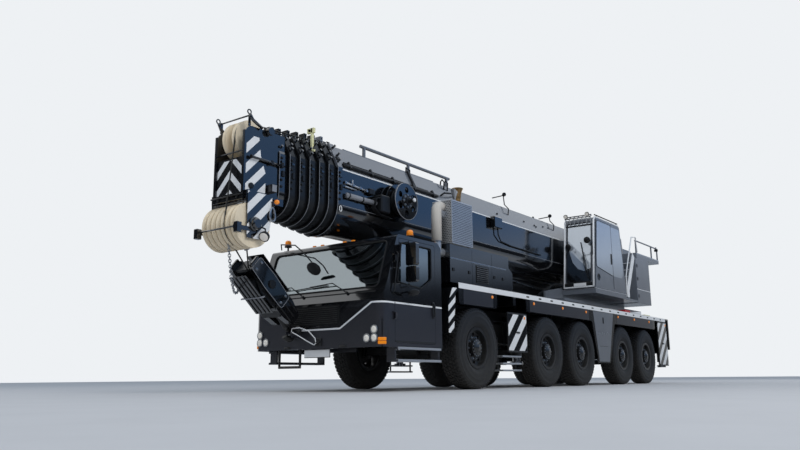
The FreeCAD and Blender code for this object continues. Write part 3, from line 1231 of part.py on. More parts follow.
def boom_base():
    """Base section with its foot bosses, the cylinder's ears, a rope reel and the guard rails on top."""
    boss_half = S.cheek_inner - S.slide_gap
    parts = [section_tube(ZERO, S.boom_rear, S.boom_front), *collar(0),
             slab("YZ", section_outline(ZERO), S.boom_rear, S.boom_rear + S.foot_plate),
             rod("y", (S.pivot_x, -boss_half, S.pivot_z), boss_half * 2, S.pivot_radius * 2)]
    eye_gap = S.eye_width / 2 + S.slide_gap
    ear_top = S.boom_bottom + S.boom_wall
    spread = S.luff_ear_reach
    ear = [(S.luff_eye_x - spread * 2, ear_top),
           (S.luff_eye_x - spread * 2 / 3, S.luff_eye_z - spread * 2 / 3),
           (S.luff_eye_x, S.luff_eye_z - spread),
           (S.luff_eye_x + spread * 2 / 3, S.luff_eye_z - spread * 2 / 3),
           (S.luff_eye_x + spread * 2, ear_top)]
    for sign in (1, -1):
        parts.append(slab("XZ", ear, *y_span(sign, eye_gap, eye_gap + S.ear_thickness)))
    disc = S.boom_wall * 2
    for y in (S.boom_half + disc * 2, S.reel_half - disc):
        parts.append(rod("y", (S.reel_x, y, S.reel_z), disc, S.reel_radius))
    parts.append(rod("y", (S.reel_x, S.boom_half - S.boom_wall / 2, S.reel_z), S.reel_half - S.boom_half,
                     S.reel_hub))
    middle = (S.guard_front + S.guard_rear) / 2
    for sign in (1, -1):
        y = S.guard_half * sign
        parts.append(rod("x", (S.guard_rear, y, S.guard_top), S.guard_front - S.guard_rear, S.guard_bar))
        for x in (S.guard_rear + S.edge_height, middle, S.guard_front - S.edge_height):
            parts.append(rod("z", (x, y, S.boom_top - 1), S.guard_top - S.boom_top, S.guard_bar))
    bore = rod("y", (S.pivot_x, -boss_half - 1, S.pivot_z), boss_half * 2 + 2, S.pivot_radius)
    eye_bore = rod("y", (S.luff_eye_x, -S.luff_ear_reach * 2, S.luff_eye_z), S.luff_ear_reach * 4,
                   S.luff_pin_radius)
    reel_holes = holes_round((S.reel_x, S.reel_z), (S.boom_half + disc, S.reel_half + 1),
                             S.reel_hole_circle,
                             S.reel_hole, REEL_HOLES)
    return cut(fuse(parts), [bore, eye_bore, *reel_holes])


def slide_pads(number):
    """Pads at a section's rear end that ride inside the next larger one."""
    inset = Size.of(section_inset(number))
    rear = S.section_rear + S.section_stagger * (number - 1)
    reach_out = S.section_gap - S.seat_gap
    span = (rear, rear + S.beam_width)
    top = S.boom_top - inset
    half = S.boom_half - inset
    pads = [box(span, (-S.lug_half, S.lug_half), (top - S.boom_wall / 2, top + reach_out))]
    for sign in (1, -1):
        pads.append(box(span, y_span(sign, half - S.boom_wall / 2, half + reach_out),
                        (S.boom_shoulder - S.reel_radius, S.boom_shoulder - S.beam_width)))
    return pads


def telescope(number):
    inset = Size.of(section_inset(number))
    rear = S.section_rear + S.section_stagger * (number - 1)
    return [section_tube(inset, rear, section_front(number)), *collar(number), *slide_pads(number)]


lower_sheave_z = S.head_bottom - S.lower_sheave_radius - S.lower_sheave_z
fork_in = S.sheave_pitch * LOWER_SHEAVES[-1] + S.sheave_width / 2 + S.fork_half


def boom_head():
    """Head frame on the last section: cheeks, front plate, sheave axles, rope keepers and lower forks."""
    start = section_front(SECTIONS) - S.collar_length
    in_face = S.head_half - S.head_plate
    side = [(start, S.head_bottom), (S.head_front, S.head_bottom),
            (S.head_front, S.head_top, S.collar_length),
            (start, S.head_top)]
    parts = [slab("XZ", side, in_face, S.head_half), slab("XZ", side, -S.head_half, -in_face),
             box((start, S.head_front), (-in_face, in_face), (S.head_bottom, S.head_bottom + S.head_plate)),
             box((S.head_front - S.head_plate, S.head_front), (-in_face, in_face),
                 (S.head_bottom, S.upper_sheave_z - S.upper_sheave_radius - S.head_plate)),
             rod("y", (S.upper_sheave_x, -S.head_half, S.upper_sheave_z), S.head_half * 2,
                 S.sheave_axle_radius - S.running_gap),
             rod("y", (S.lower_sheave_x, -fork_in - S.head_plate, lower_sheave_z),
                 (fork_in + S.head_plate) * 2,
                 S.sheave_axle_radius - S.running_gap)]
    keeper_x = S.head_front - S.head_plate
    parts += [rod("y", (keeper_x, -S.head_half, S.upper_sheave_z - S.upper_sheave_radius * 3 / 4),
                  S.head_half * 2,
                  S.keeper_bar),
              rod("y", (keeper_x, -fork_in, S.head_bottom - S.head_plate * 2), fork_in * 2, S.keeper_bar)]
    root = S.lower_sheave_x - S.collar_length * 2
    eye = S.sheave_axle_radius * 2
    fork = [(root, S.head_bottom + S.collar_length), (root, S.head_bottom),
            (S.lower_sheave_x - eye, lower_sheave_z - eye),
            (S.lower_sheave_x + eye, lower_sheave_z - eye), (S.head_front, S.head_bottom),
            (S.head_front, S.head_bottom + S.collar_length)]
    for sign in (1, -1):
        parts.append(slab("XZ", fork, *y_span(sign, fork_in, fork_in + S.head_plate)))
        parts.append(box((root, S.head_front), y_span(sign, S.head_half - 1, fork_in + 1),
                         (S.head_bottom, S.head_bottom + S.collar_length)))
    return parts


def sheave(radius):
    half = S.sheave_width / 2
    return turned([(S.sheave_axle_radius, -half), (radius, -half), (radius - half, ZERO), (radius, half),
                   (S.sheave_axle_radius, half)])


def head_sheaves():
    found = []
    for number in UPPER_SHEAVES:
        found.append(place(sheave(S.upper_sheave_radius), S.upper_sheave_x, S.sheave_pitch * number,
                           S.upper_sheave_z))
    for number in LOWER_SHEAVES:
        found.append(place(sheave(S.lower_sheave_radius), S.lower_sheave_x, S.sheave_pitch * number,
                           lower_sheave_z))
    return group(found)


keep("boom_base", boom_base())
for number in range(1, SECTIONS):
    keep(f"boom_section_{number}", fuse(telescope(number)))
jib_bore_x = S.head_front - S.collar_length
jib_bore = rod("y", (jib_bore_x, -S.head_half - 1, S.head_bottom + S.collar_length + S.sheave_width),
               S.head_half * 2 + 2,
               S.jib_bore_radius)
keep(f"boom_section_{SECTIONS}", cut(fuse(telescope(SECTIONS) + boom_head()), [jib_bore]))
keep("head_sheaves", head_sheaves())


def hook_block():
    """Block with three grooved sheaves between cheeks, a crosshead, a shank and an open hook."""
    grooves = 4
    edge = S.block_half - S.head_plate * 2
    step = edge * 2 / grooves
    rim = [(S.sheave_axle_radius, -edge)]
    for i in range(grooves):
        low = step * i - edge
        rim += [(S.block_sheave_radius, low), (S.block_sheave_radius - step / 2, low + step / 2)]
    rim += [(S.block_sheave_radius, edge), (S.sheave_axle_radius, edge)]
    half = S.block_reach / 3
    side = [(-half, -S.block_reach), (half, -S.block_reach), (half * 5 / 3, ZERO), (half, S.block_reach),
            (-half, S.block_reach), (-half * 5 / 3, ZERO)]
    cheeks = [slab("XZ", side, *y_span(sign, S.block_half - S.head_plate, S.block_half))
              for sign in (1, -1)]
    head = box((-half, half), (-S.block_half, S.block_half), (-S.block_reach - half, -S.block_reach))
    top = box((-half, half), (-S.block_half, S.block_half),
              (S.block_reach - S.head_plate * 2, S.block_reach))
    axle = rod("y", (ZERO, -S.block_half, ZERO), S.block_half * 2, S.sheave_axle_radius + 1)
    shank_low = S.hook_ring - S.hook_drop
    shank = rod("z", (ZERO, ZERO, shank_low), -S.block_reach - shank_low, S.sheave_axle_radius)
    hook = turned(ring_profile(S.hook_ring, S.hook_bar, 12), HOOK_SWEEP)
    turn = FreeCAD.Rotation(FreeCAD.Vector(0, -1, 0), 75) * FreeCAD.Rotation(FreeCAD.Vector(1, 0, 0), 180)
    place(hook, ZERO, ZERO, -S.hook_drop, turn)
    whole = fuse([turned(rim), *cheeks, head, top, axle, shank, hook])
    place(whole, S.block_x, S.hook_y, S.block_z, hook_lean)
    return whole


keep("hook_block", hook_block())

doc.recompute()
for thing in doc.Objects:
    if "Invalid" in thing.State or "Error" in thing.State:
        raise RuntimeError(f"{thing.Label} did not build: {thing.State}")
os.makedirs("parts", exist_ok=True)
for name, thing in nodes.items():
    if thing.Shape.isNull() or not thing.Shape.isValid():
        raise RuntimeError(f"{name} has no valid shape")
    thing.Shape.exportStep(f"parts/{name}.step")
    print(f"{name}: {len(thing.Shape.Solids)} solids, {thing.Shape.Volume / 1e9:.4f} m3")
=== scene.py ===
# %% [markdown]
# # A five-axle mobile crane, dressed in Blender
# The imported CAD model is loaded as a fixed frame. Every step below adds what the real machine has on top of it:
# finishes, tread, trim, lamps, ropes, steps and small fittings. Each piece rides on the CAD body that carries it.

# %% Load the frame
import bmesh
import bpy
import math
from itertools import product
from mathutils import Matrix, Vector


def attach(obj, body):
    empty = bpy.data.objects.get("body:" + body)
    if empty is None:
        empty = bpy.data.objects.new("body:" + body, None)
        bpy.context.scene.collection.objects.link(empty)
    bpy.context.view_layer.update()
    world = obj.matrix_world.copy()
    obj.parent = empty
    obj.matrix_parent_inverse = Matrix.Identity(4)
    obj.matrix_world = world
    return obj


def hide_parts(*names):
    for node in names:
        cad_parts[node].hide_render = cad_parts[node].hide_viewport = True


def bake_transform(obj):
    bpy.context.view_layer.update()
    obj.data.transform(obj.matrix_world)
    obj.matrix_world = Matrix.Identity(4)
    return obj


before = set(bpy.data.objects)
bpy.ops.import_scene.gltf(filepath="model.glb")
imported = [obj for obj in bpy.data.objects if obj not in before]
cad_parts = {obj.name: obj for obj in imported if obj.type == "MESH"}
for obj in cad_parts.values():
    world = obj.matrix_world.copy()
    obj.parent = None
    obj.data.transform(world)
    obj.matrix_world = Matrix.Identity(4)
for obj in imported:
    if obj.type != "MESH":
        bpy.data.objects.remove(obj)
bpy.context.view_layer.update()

# %% [markdown]
# ## Shared sizes
# The row frame has X forward, Y to the driver's left and Z up, with the ground at zero.
# These places come back in many steps, so they are named once.

# %% Shared sizes
AXLE_X = {1: 5.545, 2: 2.855, 3: 1.205, 4: -1.205, 5: -2.855}
HUB_Y, HUB_Z = 1.1825, 0.685
SIDES = (("left", 1), ("right", -1))
HALF_WIDTH = 1.375
CAB_FRONT, CAB_SIDE = 8.135, 1.345
BOOM_HALF, BOOM_TOP, BOOM_SHOULDER = 0.45, 3.85, 3.45
SECTION_FRONTS = [8.145 + 0.185 * number for number in range(7)]
UP = Vector((0, 0, 1))

# %% [markdown]
# ## Building blocks
# Small solids are gathered in one mesh per body with bmesh, because hundreds of loose objects would be slow.
# Each form is a list of corners and faces with chamfered or rounded edges, so that it catches the light.
# `Workpiece` turns them, gives each its material and closes the piece on the body that carries it.

# %% Forms
def block(low, high, edge=0.004):
    """Box with chamfered edges between two corners."""
    low, high = Vector(low), Vector(high)
    edge = min(edge, *[abs(high[i] - low[i]) * 0.45 for i in range(3)])
    numbers, verts, faces = {}, [], []
    for ends in product((0, 1), repeat=3):
        for axis in range(3):
            insets = [0 if i == axis else edge for i in range(3)]
            numbers[(*ends, axis)] = len(verts)
            verts.append(Vector([high[i] - insets[i] if ends[i] else low[i] + insets[i] for i in range(3)]))

    def corner(axes, ends, owner):
        """Number of a corner's point on the face square to one axis, from its ends along three axes."""
        end_of = dict(zip(axes, ends))
        return numbers[end_of[0], end_of[1], end_of[2], owner]

    orders = [(axis, *[i for i in range(3) if i != axis]) for axis in range(3)]
    for axes in orders:
        for side in (0, 1):
            faces.append([corner(axes, (side, *turn), axes[0]) for turn in ((0, 0), (1, 0), (1, 1), (0, 1))])
    for axes in orders:
        for pair in product((0, 1), repeat=2):
            near, far = [[corner(axes, (end, *pair), owner) for owner in axes[1:]] for end in (0, 1)]
            faces.append(near + far[::-1])
    faces += [[numbers[(*ends, axis)] for axis in range(3)] for ends in product((0, 1), repeat=3)]
    return verts, faces


def ring_frame(direction):
    """Two unit vectors square to a direction."""
    side = direction.orthogonal().normalized()
    return side, direction.cross(side).normalized()


def tube(points, radius, sides, closed=False):
    """Round bar that follows a run of points, with flat ends."""
    points = [Vector(p) for p in points]
    count = len(points)
    verts, faces = [], []
    heading = (points[1] - points[0]).normalized()
    side, up = ring_frame(heading)
    for i, point in enumerate(points):
        if closed:
            ahead = (points[(i + 1) % count] - points[i - 1]).normalized()
        else:
            ahead = (points[min(i + 1, count - 1)] - points[max(i - 1, 0)]).normalized()
        turn = heading.rotation_difference(ahead)
        side, up, heading = turn @ side, turn @ up, ahead
        for k in range(sides):
            angle = math.tau * k / sides
            verts.append(point + (side * math.cos(angle) + up * math.sin(angle)) * radius)
    for i in range(count if closed else count - 1):
        for k in range(sides):
            here, there = i * sides, (i + 1) % count * sides
            faces.append([here + k, here + (k + 1) % sides, there + (k + 1) % sides, there + k])
    if not closed:
        faces.append(list(range(sides))[::-1])
        faces.append([(count - 1) * sides + k for k in range(sides)])
    return verts, faces


def lathe(profile, sides=32):
    """Profile of (radius, along) points turned about Z. It closes to a ring unless one of its ends is on the axis."""
    closed = min(profile[0][0], profile[-1][0]) > 1e-6
    verts, faces, rows = [], [], []
    for radius, along in profile:
        if radius < 1e-6:
            rows.append([len(verts)] * sides)
            verts.append(Vector((0, 0, along)))
            continue
        rows.append(list(range(len(verts), len(verts) + sides)))
        for k in range(sides):
            angle = math.tau * k / sides
            verts.append(Vector((radius * math.cos(angle), radius * math.sin(angle), along)))
    for i in range(len(rows) if closed else len(rows) - 1):
        low, high = rows[i], rows[(i + 1) % len(rows)]
        for k in range(sides):
            loop = list(dict.fromkeys([low[k], low[(k + 1) % sides], high[(k + 1) % sides], high[k]]))
            if len(loop) > 2:
                faces.append(loop)
    return verts, faces


def plate(lower, upper):
    """Solid between two outlines with the same number of points."""
    count = len(lower)
    faces = [list(range(count))[::-1], list(range(count, 2 * count))]
    faces += [[i, (i + 1) % count, count + (i + 1) % count, count + i] for i in range(count)]
    return [*lower, *upper], faces


def upright(outline, low, high, sign=1):
    """Outline of (x, z) points given a thickness along Y, on the left or, with the sign -1, on the right."""
    return plate(*[[Vector((x, y, z)) for x, z in outline] for y in sorted((low * sign, high * sign))])


def rounded(corners, radius, steps=4):
    """Outline with its corners rounded."""
    points = []
    for i, corner in enumerate(corners):
        here, before, after = Vector(corner), Vector(corners[i - 1]), Vector(corners[(i + 1) % len(corners)])
        start, end = (before - here).normalized() * radius, (after - here).normalized() * radius
        for k in range(steps + 1):
            t = k / steps
            points.append(tuple(here + start * (1 - t) ** 2 + end * t ** 2))
    return points


# %% Workpiece
class Workpiece:
    """One mesh under construction. Forms are added to it, each with its own material."""

    def __init__(self, name):
        self.name, self.bm, self.materials = name, bmesh.new(), []

    def add(self, form, material, place=None, smooth=False):
        """Adds corners and faces, moved to their place, in one material."""
        verts, faces = form
        if material not in self.materials:
            self.materials.append(material)
        index = self.materials.index(material)
        made = [self.bm.verts.new(place @ Vector(v) if place else v) for v in verts]
        new_faces = []
        for loop in faces:
            face = self.bm.faces.new([made[i] for i in loop])
            face.material_index, face.smooth = index, smooth
            new_faces.append(face)
        bmesh.ops.recalc_face_normals(self.bm, faces=new_faces)

    def box(self, low, high, edge, material, place=None, sign=1):
        """Chamfered box. With the sign -1 it is the mirror image on the right-hand side."""
        if sign < 0:
            low, high = (low[0], -high[1], low[2]), (high[0], -low[1], high[2])
        self.add(block(low, high, edge), material, place)

    def copies(self, form, tree, material, place=None, smooth=False, **sizes):
        """A form repeated by one of the trees below."""
        self.add(repeat(form, tree, material, **sizes), material, place, smooth)

    def bar(self, points, radius, sides, material, place=None, closed=False, smooth=True):
        """Round bar along a run of points."""
        self.add(tube(points, radius, sides, closed), material, place, smooth)

    def done(self, body, stands_for=()):
        """Makes the object, rides it on its CAD body, if it has only one."""
        mesh = bpy.data.meshes.new(self.name)
        self.bm.to_mesh(mesh)
        self.bm.free()
        for material in self.materials:
            mesh.materials.append(material)
        obj = bpy.data.objects.new(self.name, mesh)
        bpy.context.collection.objects.link(obj)
        if body:
            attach(obj, body)
        if stands_for:
            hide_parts(*stands_for)
        print(self.name, "on", body, len(mesh.polygons), "faces")
        return obj


def at(*spot):
    """Matrix that moves a form to a point."""
    return Matrix.Translation(spot)


def axis_place(origin, axis):
    """Matrix that stands a form's Z axis along another axis at a point."""
    return at(*origin) @ UP.rotation_difference(Vector(axis)).to_matrix().to_4x4()


def side_place(x, y, z, sign):
    """Matrix that stands a form on one side of the machine, so that its Z axis points away from the middle."""
    return axis_place((x, y * sign, z), (0, sign, 0))


# %% [markdown]
# ## Repeating forms with Geometry Nodes
# Nuts, tread blocks, perforations, rope turns and chain links repeat a small form by a rule.
# Geometry Nodes does that well: one tree puts copies on a ring, one on a line and one on a staggered grid.
# The result is turned into a plain mesh at once, so nothing live is left.

# %% Trees that repeat a form
def new_tree(name, incoming, inputs):
    """Node tree for a modifier, with what comes in, its named inputs and the outgoing mesh."""
    tree = bpy.data.node_groups.new(name, "GeometryNodeTree")
    for label, kind in ((incoming, "Geometry"), *inputs, ("Material", "Material")):
        tree.interface.new_socket(label, in_out="INPUT", socket_type=f"NodeSocket{kind}")
    tree.interface.new_socket("Mesh", in_out="OUTPUT", socket_type="NodeSocketGeometry")
    return tree


def node(tree, kind, options=None, values=None, links=None):
    """Adds one node with its options, its fixed values and its links. A link from a node takes its first output."""
    made = tree.nodes.new(kind)
    for name, value in (options or {}).items():
        setattr(made, name, value)
    for socket, value in (values or {}).items():
        made.inputs[socket].default_value = value
    for socket, source in (links or {}).items():
        tree.links.new(source.outputs[0] if isinstance(source, bpy.types.Node) else source, made.inputs[socket])
    return made


def close_tree(tree, start, form, points, turn):
    """Puts a form on the points, realizes the copies and sets their material."""
    copies = node(tree, "GeometryNodeInstanceOnPoints", links={"Points": points, "Instance": form, **turn})
    real = node(tree, "GeometryNodeRealizeInstances", links={"Geometry": copies})
    painted = node(tree, "GeometryNodeSetMaterial", links={"Geometry": real, "Material": start["Material"]})
    node(tree, "NodeGroupOutput", links={"Mesh": painted})
    return tree


def ring_tree():
    tree = new_tree("Ring of forms", "Form", [("Count", "Int"), ("Radius", "Float")])
    start = node(tree, "NodeGroupInput").outputs
    circle = node(tree, "GeometryNodeMeshCircle", links={"Vertices": start["Count"], "Radius": start["Radius"]})
    index = node(tree, "GeometryNodeInputIndex")
    share = node(tree, "ShaderNodeMath", {"operation": "DIVIDE"}, links={0: index, 1: start["Count"]})
    angle = node(tree, "ShaderNodeMath", {"operation": "MULTIPLY"}, {1: math.tau}, {0: share})
    turn = node(tree, "ShaderNodeCombineXYZ", links={"Z": angle})
    return close_tree(tree, start, start["Form"], circle, {"Rotation": turn})


def line_tree():
    tree = new_tree("Line of forms", "Form", [("Count", "Int"), ("Step", "Vector")])
    start = node(tree, "NodeGroupInput").outputs
    line = node(tree, "GeometryNodeMeshLine", {"mode": "OFFSET"},
                links={"Count": start["Count"], "Offset": start["Step"]})
    return close_tree(tree, start, start["Form"], line, {})


def grid_tree():
    tree = new_tree("Staggered grid of forms", "Form", [("Width", "Float"), ("Height", "Float"), ("Columns", "Int"),
                                                        ("Rows", "Int"), ("Stagger", "Float")])
    start = node(tree, "NodeGroupInput").outputs
    grid = node(tree, "GeometryNodeMeshGrid", links={"Size X": start["Width"], "Size Y": start["Height"],
                                                     "Vertices X": start["Columns"], "Vertices Y": start["Rows"]})
    index = node(tree, "GeometryNodeInputIndex")
    row = node(tree, "ShaderNodeMath", {"operation": "MODULO"}, links={0: index, 1: start["Rows"]})
    odd = node(tree, "ShaderNodeMath", {"operation": "MODULO"}, {1: 2.0}, {0: row})
    shift = node(tree, "ShaderNodeMath", {"operation": "MULTIPLY"}, links={0: odd, 1: start["Stagger"]})
    offset = node(tree, "ShaderNodeCombineXYZ", links={"X": shift})
    moved = node(tree, "GeometryNodeSetPosition", links={"Geometry": grid, "Offset": offset})
    return close_tree(tree, start, start["Form"], moved, {})


RING, LINE, GRID = ring_tree(), line_tree(), grid_tree()


def repeat(form, tree, material, edges=(), **sizes):
    """Runs a tree on a form, or on a path of edges, and gives back the copies as corners and faces."""
    mesh = bpy.data.meshes.new("form")
    mesh.from_pydata([tuple(v) for v in form[0]], edges, form[1])
    carrier = bpy.data.objects.new("form", mesh)
    bpy.context.collection.objects.link(carrier)
    modifier = carrier.modifiers.new("Repeat", "NODES")
    modifier.node_group = tree
    sizes["Material"] = material
    for item in tree.interface.items_tree:
        if item.in_out == "INPUT" and item.name in sizes:
            modifier[item.identifier] = sizes[item.name]
    graph = bpy.context.evaluated_depsgraph_get()
    result = bpy.data.meshes.new_from_object(carrier.evaluated_get(graph))
    copies = [v.co.copy() for v in result.vertices], [list(p.vertices) for p in result.polygons]
    bpy.data.objects.remove(carrier)
    bpy.data.meshes.remove(mesh)
    bpy.data.meshes.remove(result)
    return copies


# %% [markdown]
# ## Finishes
# Each finish starts from what the real surface is and how it was made. Colours are sRGB hex values, turned to
# linear by one function. Patterns read Object coordinates in metres, so their scale is a real size in millimetres.

# %% Colour and the painted-steel recipe
def linear(hex_value):
    """sRGB hex colour as linear RGBA."""
    channels = [int(hex_value[i:i + 2], 16) / 255 for i in (1, 3, 5)]
    return [c / 12.92 if c <= 0.04045 else ((c + 0.055) / 1.055) ** 2.4 for c in channels] + [1.0]


ROAD_DUST, DUST_TOP, DUST_FULL = linear("#6F6A61"), 1.35, 0.2  # its colour, and where it starts and is full


def empty_material(name, hex_value):
    """New material without nodes, with the flat colour that it has in a plain view."""
    material = bpy.data.materials.new(name)
    material.use_nodes = True
    material.node_tree.nodes.clear()
    material.diffuse_color = linear(hex_value)
    return material, material.node_tree


def finish(name, hex_value, roughness, metallic=0.0, coat=0.0, tone_mm=350.0, tone=0.10, grain_mm=9.0, grain=0.02,
           dust=0.25, ior=1.5):
    """Surface with a slow colour drift, fine grain in its bump and road dust low down and on upward faces."""
    material, tree = empty_material(name, hex_value)
    place = node(tree, "ShaderNodeTexCoord").outputs["Object"]
    drift = node(tree, "ShaderNodeTexNoise", values={"Scale": 1000 / tone_mm, "Detail": 3.0}, links={"Vector": place})
    base = linear(hex_value)
    dark = [c * (1 - tone) for c in base[:3]] + [1]
    light = [min(1, c * (1 + tone) + 0.002) for c in base[:3]] + [1]
    colour = node(tree, "ShaderNodeMix", {"data_type": "RGBA"}, {6: dark, 7: light}, {0: drift})
    spot = node(tree, "ShaderNodeSeparateXYZ", links={"Vector": place}).outputs
    low = node(tree, "ShaderNodeMapRange", values={"From Min": DUST_TOP, "From Max": DUST_FULL},
               links={"Value": spot["Z"]})
    normal = node(tree, "ShaderNodeNewGeometry").outputs["Normal"]
    facing = node(tree, "ShaderNodeSeparateXYZ", links={"Vector": normal})
    upward = node(tree, "ShaderNodeMapRange", values={"From Min": 0.6, "From Max": 1.0, "To Min": 0.0, "To Max": 0.6},
                  links={"Value": facing.outputs["Z"]})
    settle = node(tree, "ShaderNodeMath", {"operation": "MAXIMUM"}, links={0: low, 1: upward})
    speckle = node(tree, "ShaderNodeTexNoise", values={"Scale": 1000 / 60, "Detail": 5.0, "Roughness": 0.65},
                   links={"Vector": place})
    amount = node(tree, "ShaderNodeMath", {"operation": "MULTIPLY"}, links={0: settle, 1: speckle})
    dusty = node(tree, "ShaderNodeMath", {"operation": "MULTIPLY"}, {1: dust}, {0: amount})
    seen = node(tree, "ShaderNodeMix", {"data_type": "RGBA"}, {7: ROAD_DUST}, {0: dusty, 6: colour.outputs[2]})
    rough = node(tree, "ShaderNodeMapRange", values={"From Min": 0.0, "From Max": 0.5, "To Min": roughness,
                                                     "To Max": min(1.0, roughness + 0.35)}, links={"Value": dusty})
    fine = node(tree, "ShaderNodeTexNoise", values={"Scale": 1000 / grain_mm, "Detail": 2.0}, links={"Vector": place})
    bump = node(tree, "ShaderNodeBump", values={"Strength": grain, "Distance": 0.002}, links={"Height": fine})
    shader = node(tree, "ShaderNodeBsdfPrincipled", values={"Metallic": metallic, "IOR": ior, "Coat Weight": coat,
                                                            "Coat Roughness": 0.04},
                  links={"Base Color": seen.outputs[2], "Roughness": rough, "Normal": bump.outputs["Normal"]})
    node(tree, "ShaderNodeOutputMaterial", links={"Surface": shader})
    return material


# %% [markdown]
# The bodywork is steel with a sprayed two-pack enamel and clear lacquer. Sprayed lacquer has a faint orange peel,
# which bends the reflections of large panels. It is drawn at 9 mm, coarser than real, so that it shows.

# %% Painted, cast and moulded finishes
black_enamel = finish("black two-pack enamel", "#08090C", 0.12, coat=0.8, grain=0.012, dust=0.12, ior=1.75)
charcoal_enamel = finish("charcoal satin enamel", "#1F1F25", 0.32, coat=0.2, dust=0.15)
grey_enamel = finish("grey superstructure enamel", "#666B73", 0.26, coat=0.4)
silver_enamel = finish("silver boom-top enamel", "#85888E", 0.42, coat=0.1)
white_enamel = finish("white trim tape", "#E4E5E6", 0.35, tone=0.04, dust=0.2)
chassis_paint = finish("chassis primer black", "#0D0E10", 0.42, dust=0.30)
cast_iron = finish("painted cast iron", "#101113", 0.45, grain_mm=5, grain=0.25, dust=0.30)
yellow_enamel = finish("pale yellow enamel", "#E3DFAE", 0.4, dust=0.1)
red_enamel = finish("red enamel", "#B8262B", 0.35, dust=0.1)
plastic = finish("grained black polypropylene", "#111214", 0.5, grain_mm=4, grain=0.3, dust=0.15)
seat_cloth = finish("woven seat cloth", "#2A2B30", 0.9, grain_mm=3, grain=0.6, dust=0)
black_rubber = finish("extruded rubber seal", "#0E0E0F", 0.7, dust=0.2)
cast_nylon = finish("cast nylon sheave", "#E8D8BC", 0.45, tone_mm=160, tone=0.12, grain_mm=6, dust=0.3)
aluminium = finish("mill-finish aluminium", "#C6C8CB", 0.34, metallic=0.75, grain_mm=6, grain=0.05, dust=0.3)
heat_wrap = finish("woven glass heat wrap", "#CBC5BC", 0.7, grain_mm=14, grain=0.5, dust=0.2)
steel_bright = finish("zinc-plated steel", "#A9ABAE", 0.32, metallic=1.0, grain_mm=4, grain=0.05, dust=0.1)
chrome = finish("hard-chromed piston rod", "#D8D9DB", 0.08, metallic=1.0, grain=0.0, dust=0.0)
scorched_steel = finish("heat-tinted steel outlet", "#A8865A", 0.38, metallic=0.9, tone_mm=90, tone=0.35, dust=0.1)
wire_rope = finish("greased wire rope", "#3A3936", 0.45, metallic=0.6, grain_mm=6, grain=0.6, dust=0.1)
# near-black for dark panel joints, and painted shade inside holes, slots and recesses
hole_shade_and_joint_black = finish("painted shade of holes and dark joints", "#050505", 0.9, dust=0.0)
deck_paint = finish("anti-slip deck paint", "#34373C", 0.75, grain_mm=5, grain=0.6, dust=0.5)
tyre_rubber = finish("vulcanised tyre rubber", "#0F0F11", 0.7, tone_mm=120, tone=0.25, grain_mm=7, grain=0.25,
                     dust=0.30)
rim_paint = finish("satin black wheel enamel", "#0A0B0D", 0.28, coat=0.3, dust=0.20)

# %% [markdown]
# The cab panes are tinted laminated glass with a sun-protection layer, which mirrors the sky. A see-through share
# mixed with a mirror reads as such glass and still shows the seats. Lamp lenses are polycarbonate.

# %% Glass and lenses
def pane(name, hex_value, see_through, mirror, metallic=1.0):
    """Sun-protection glass: a share of the light passes, and the rest meets a mirroring layer."""
    material, tree = empty_material(name, hex_value)
    clear = node(tree, "ShaderNodeBsdfTransparent", values={"Color": linear(hex_value)})
    gloss = node(tree, "ShaderNodeBsdfPrincipled", values={"Base Color": linear(mirror), "Roughness": 0.03,
                                                           "Metallic": metallic})
    mixed = node(tree, "ShaderNodeMixShader", values={0: see_through}, links={1: gloss, 2: clear})
    node(tree, "ShaderNodeOutputMaterial", links={"Surface": mixed})
    return material


def lens(name, hex_value, painted_glow=0.0):
    """Moulded polycarbonate lens with fine ribs, with a faint painted glow that stands in for light thrown back by its
    reflector.
    """
    material = finish(name, hex_value, 0.12, coat=0.8, grain_mm=5, grain=0.15, dust=0.0)
    shader = material.node_tree.nodes["Principled BSDF"]
    shader.inputs["Emission Color"].default_value = linear(hex_value)
    shader.inputs["Emission Strength"].default_value = painted_glow
    return material


tinted_glass = pane("green-tinted laminated glass", "#AEBBB7", 0.45, "#C8D0D4")
booth_pane = pane("grey sun-protection glass", "#B4BCC2", 0.20, "#D5DCE4", 0.6)
mirror_glass = finish("silvered mirror glass", "#C9CED4", 0.03, metallic=1.0, grain=0.0, dust=0.0)
# the last number is each lens's painted glow
amber_lens = lens("amber polycarbonate lens", "#E8861A", 0.25)
red_lens = lens("red polycarbonate lens", "#A3161B", 0.1)
clear_lens = lens("clear polycarbonate lens", "#DDD8CF", 0.15)

# %% [markdown]
# The driver's cab is in two tones: satin charcoal below the white line and gloss black above it. The line falls in
# a shallow V across the front, so the same rule in Y and Z is used for the paint mask and for the tape itself.

# %% Two-tone cab paint
V_HIGH, V_LOW = 1.285, 0.93
V_INNER, V_OUTER, V_MIDDLE = 0.51, 1.12, 0.02
LINE_HALF = 0.013  # half the width of the white line


def line_height(y):
    """Height of the white line at a distance across the front."""
    share = (abs(y - V_MIDDLE) - V_INNER) / (V_OUTER - V_INNER)
    return V_LOW + (V_HIGH - V_LOW) * min(1, max(0, share))


def second_tone(material, mask, hex_value, lift):
    """Gives a finish another colour and a higher roughness where a mask is 1."""
    tree = material.node_tree
    shader = tree.nodes["Principled BSDF"]
    colour, rough = [shader.inputs[name].links[0].from_socket for name in ("Base Color", "Roughness")]
    tone = node(tree, "ShaderNodeMix", {"data_type": "RGBA"}, {7: linear(hex_value)}, {0: mask, 6: colour})
    more = node(tree, "ShaderNodeMath", {"operation": "MULTIPLY"}, {1: lift}, {0: mask})
    total = node(tree, "ShaderNodeMath", {"operation": "ADD"}, links={0: rough, 1: more})
    tree.links.new(tone.outputs[2], shader.inputs["Base Color"])
    tree.links.new(total.outputs[0], shader.inputs["Roughness"])


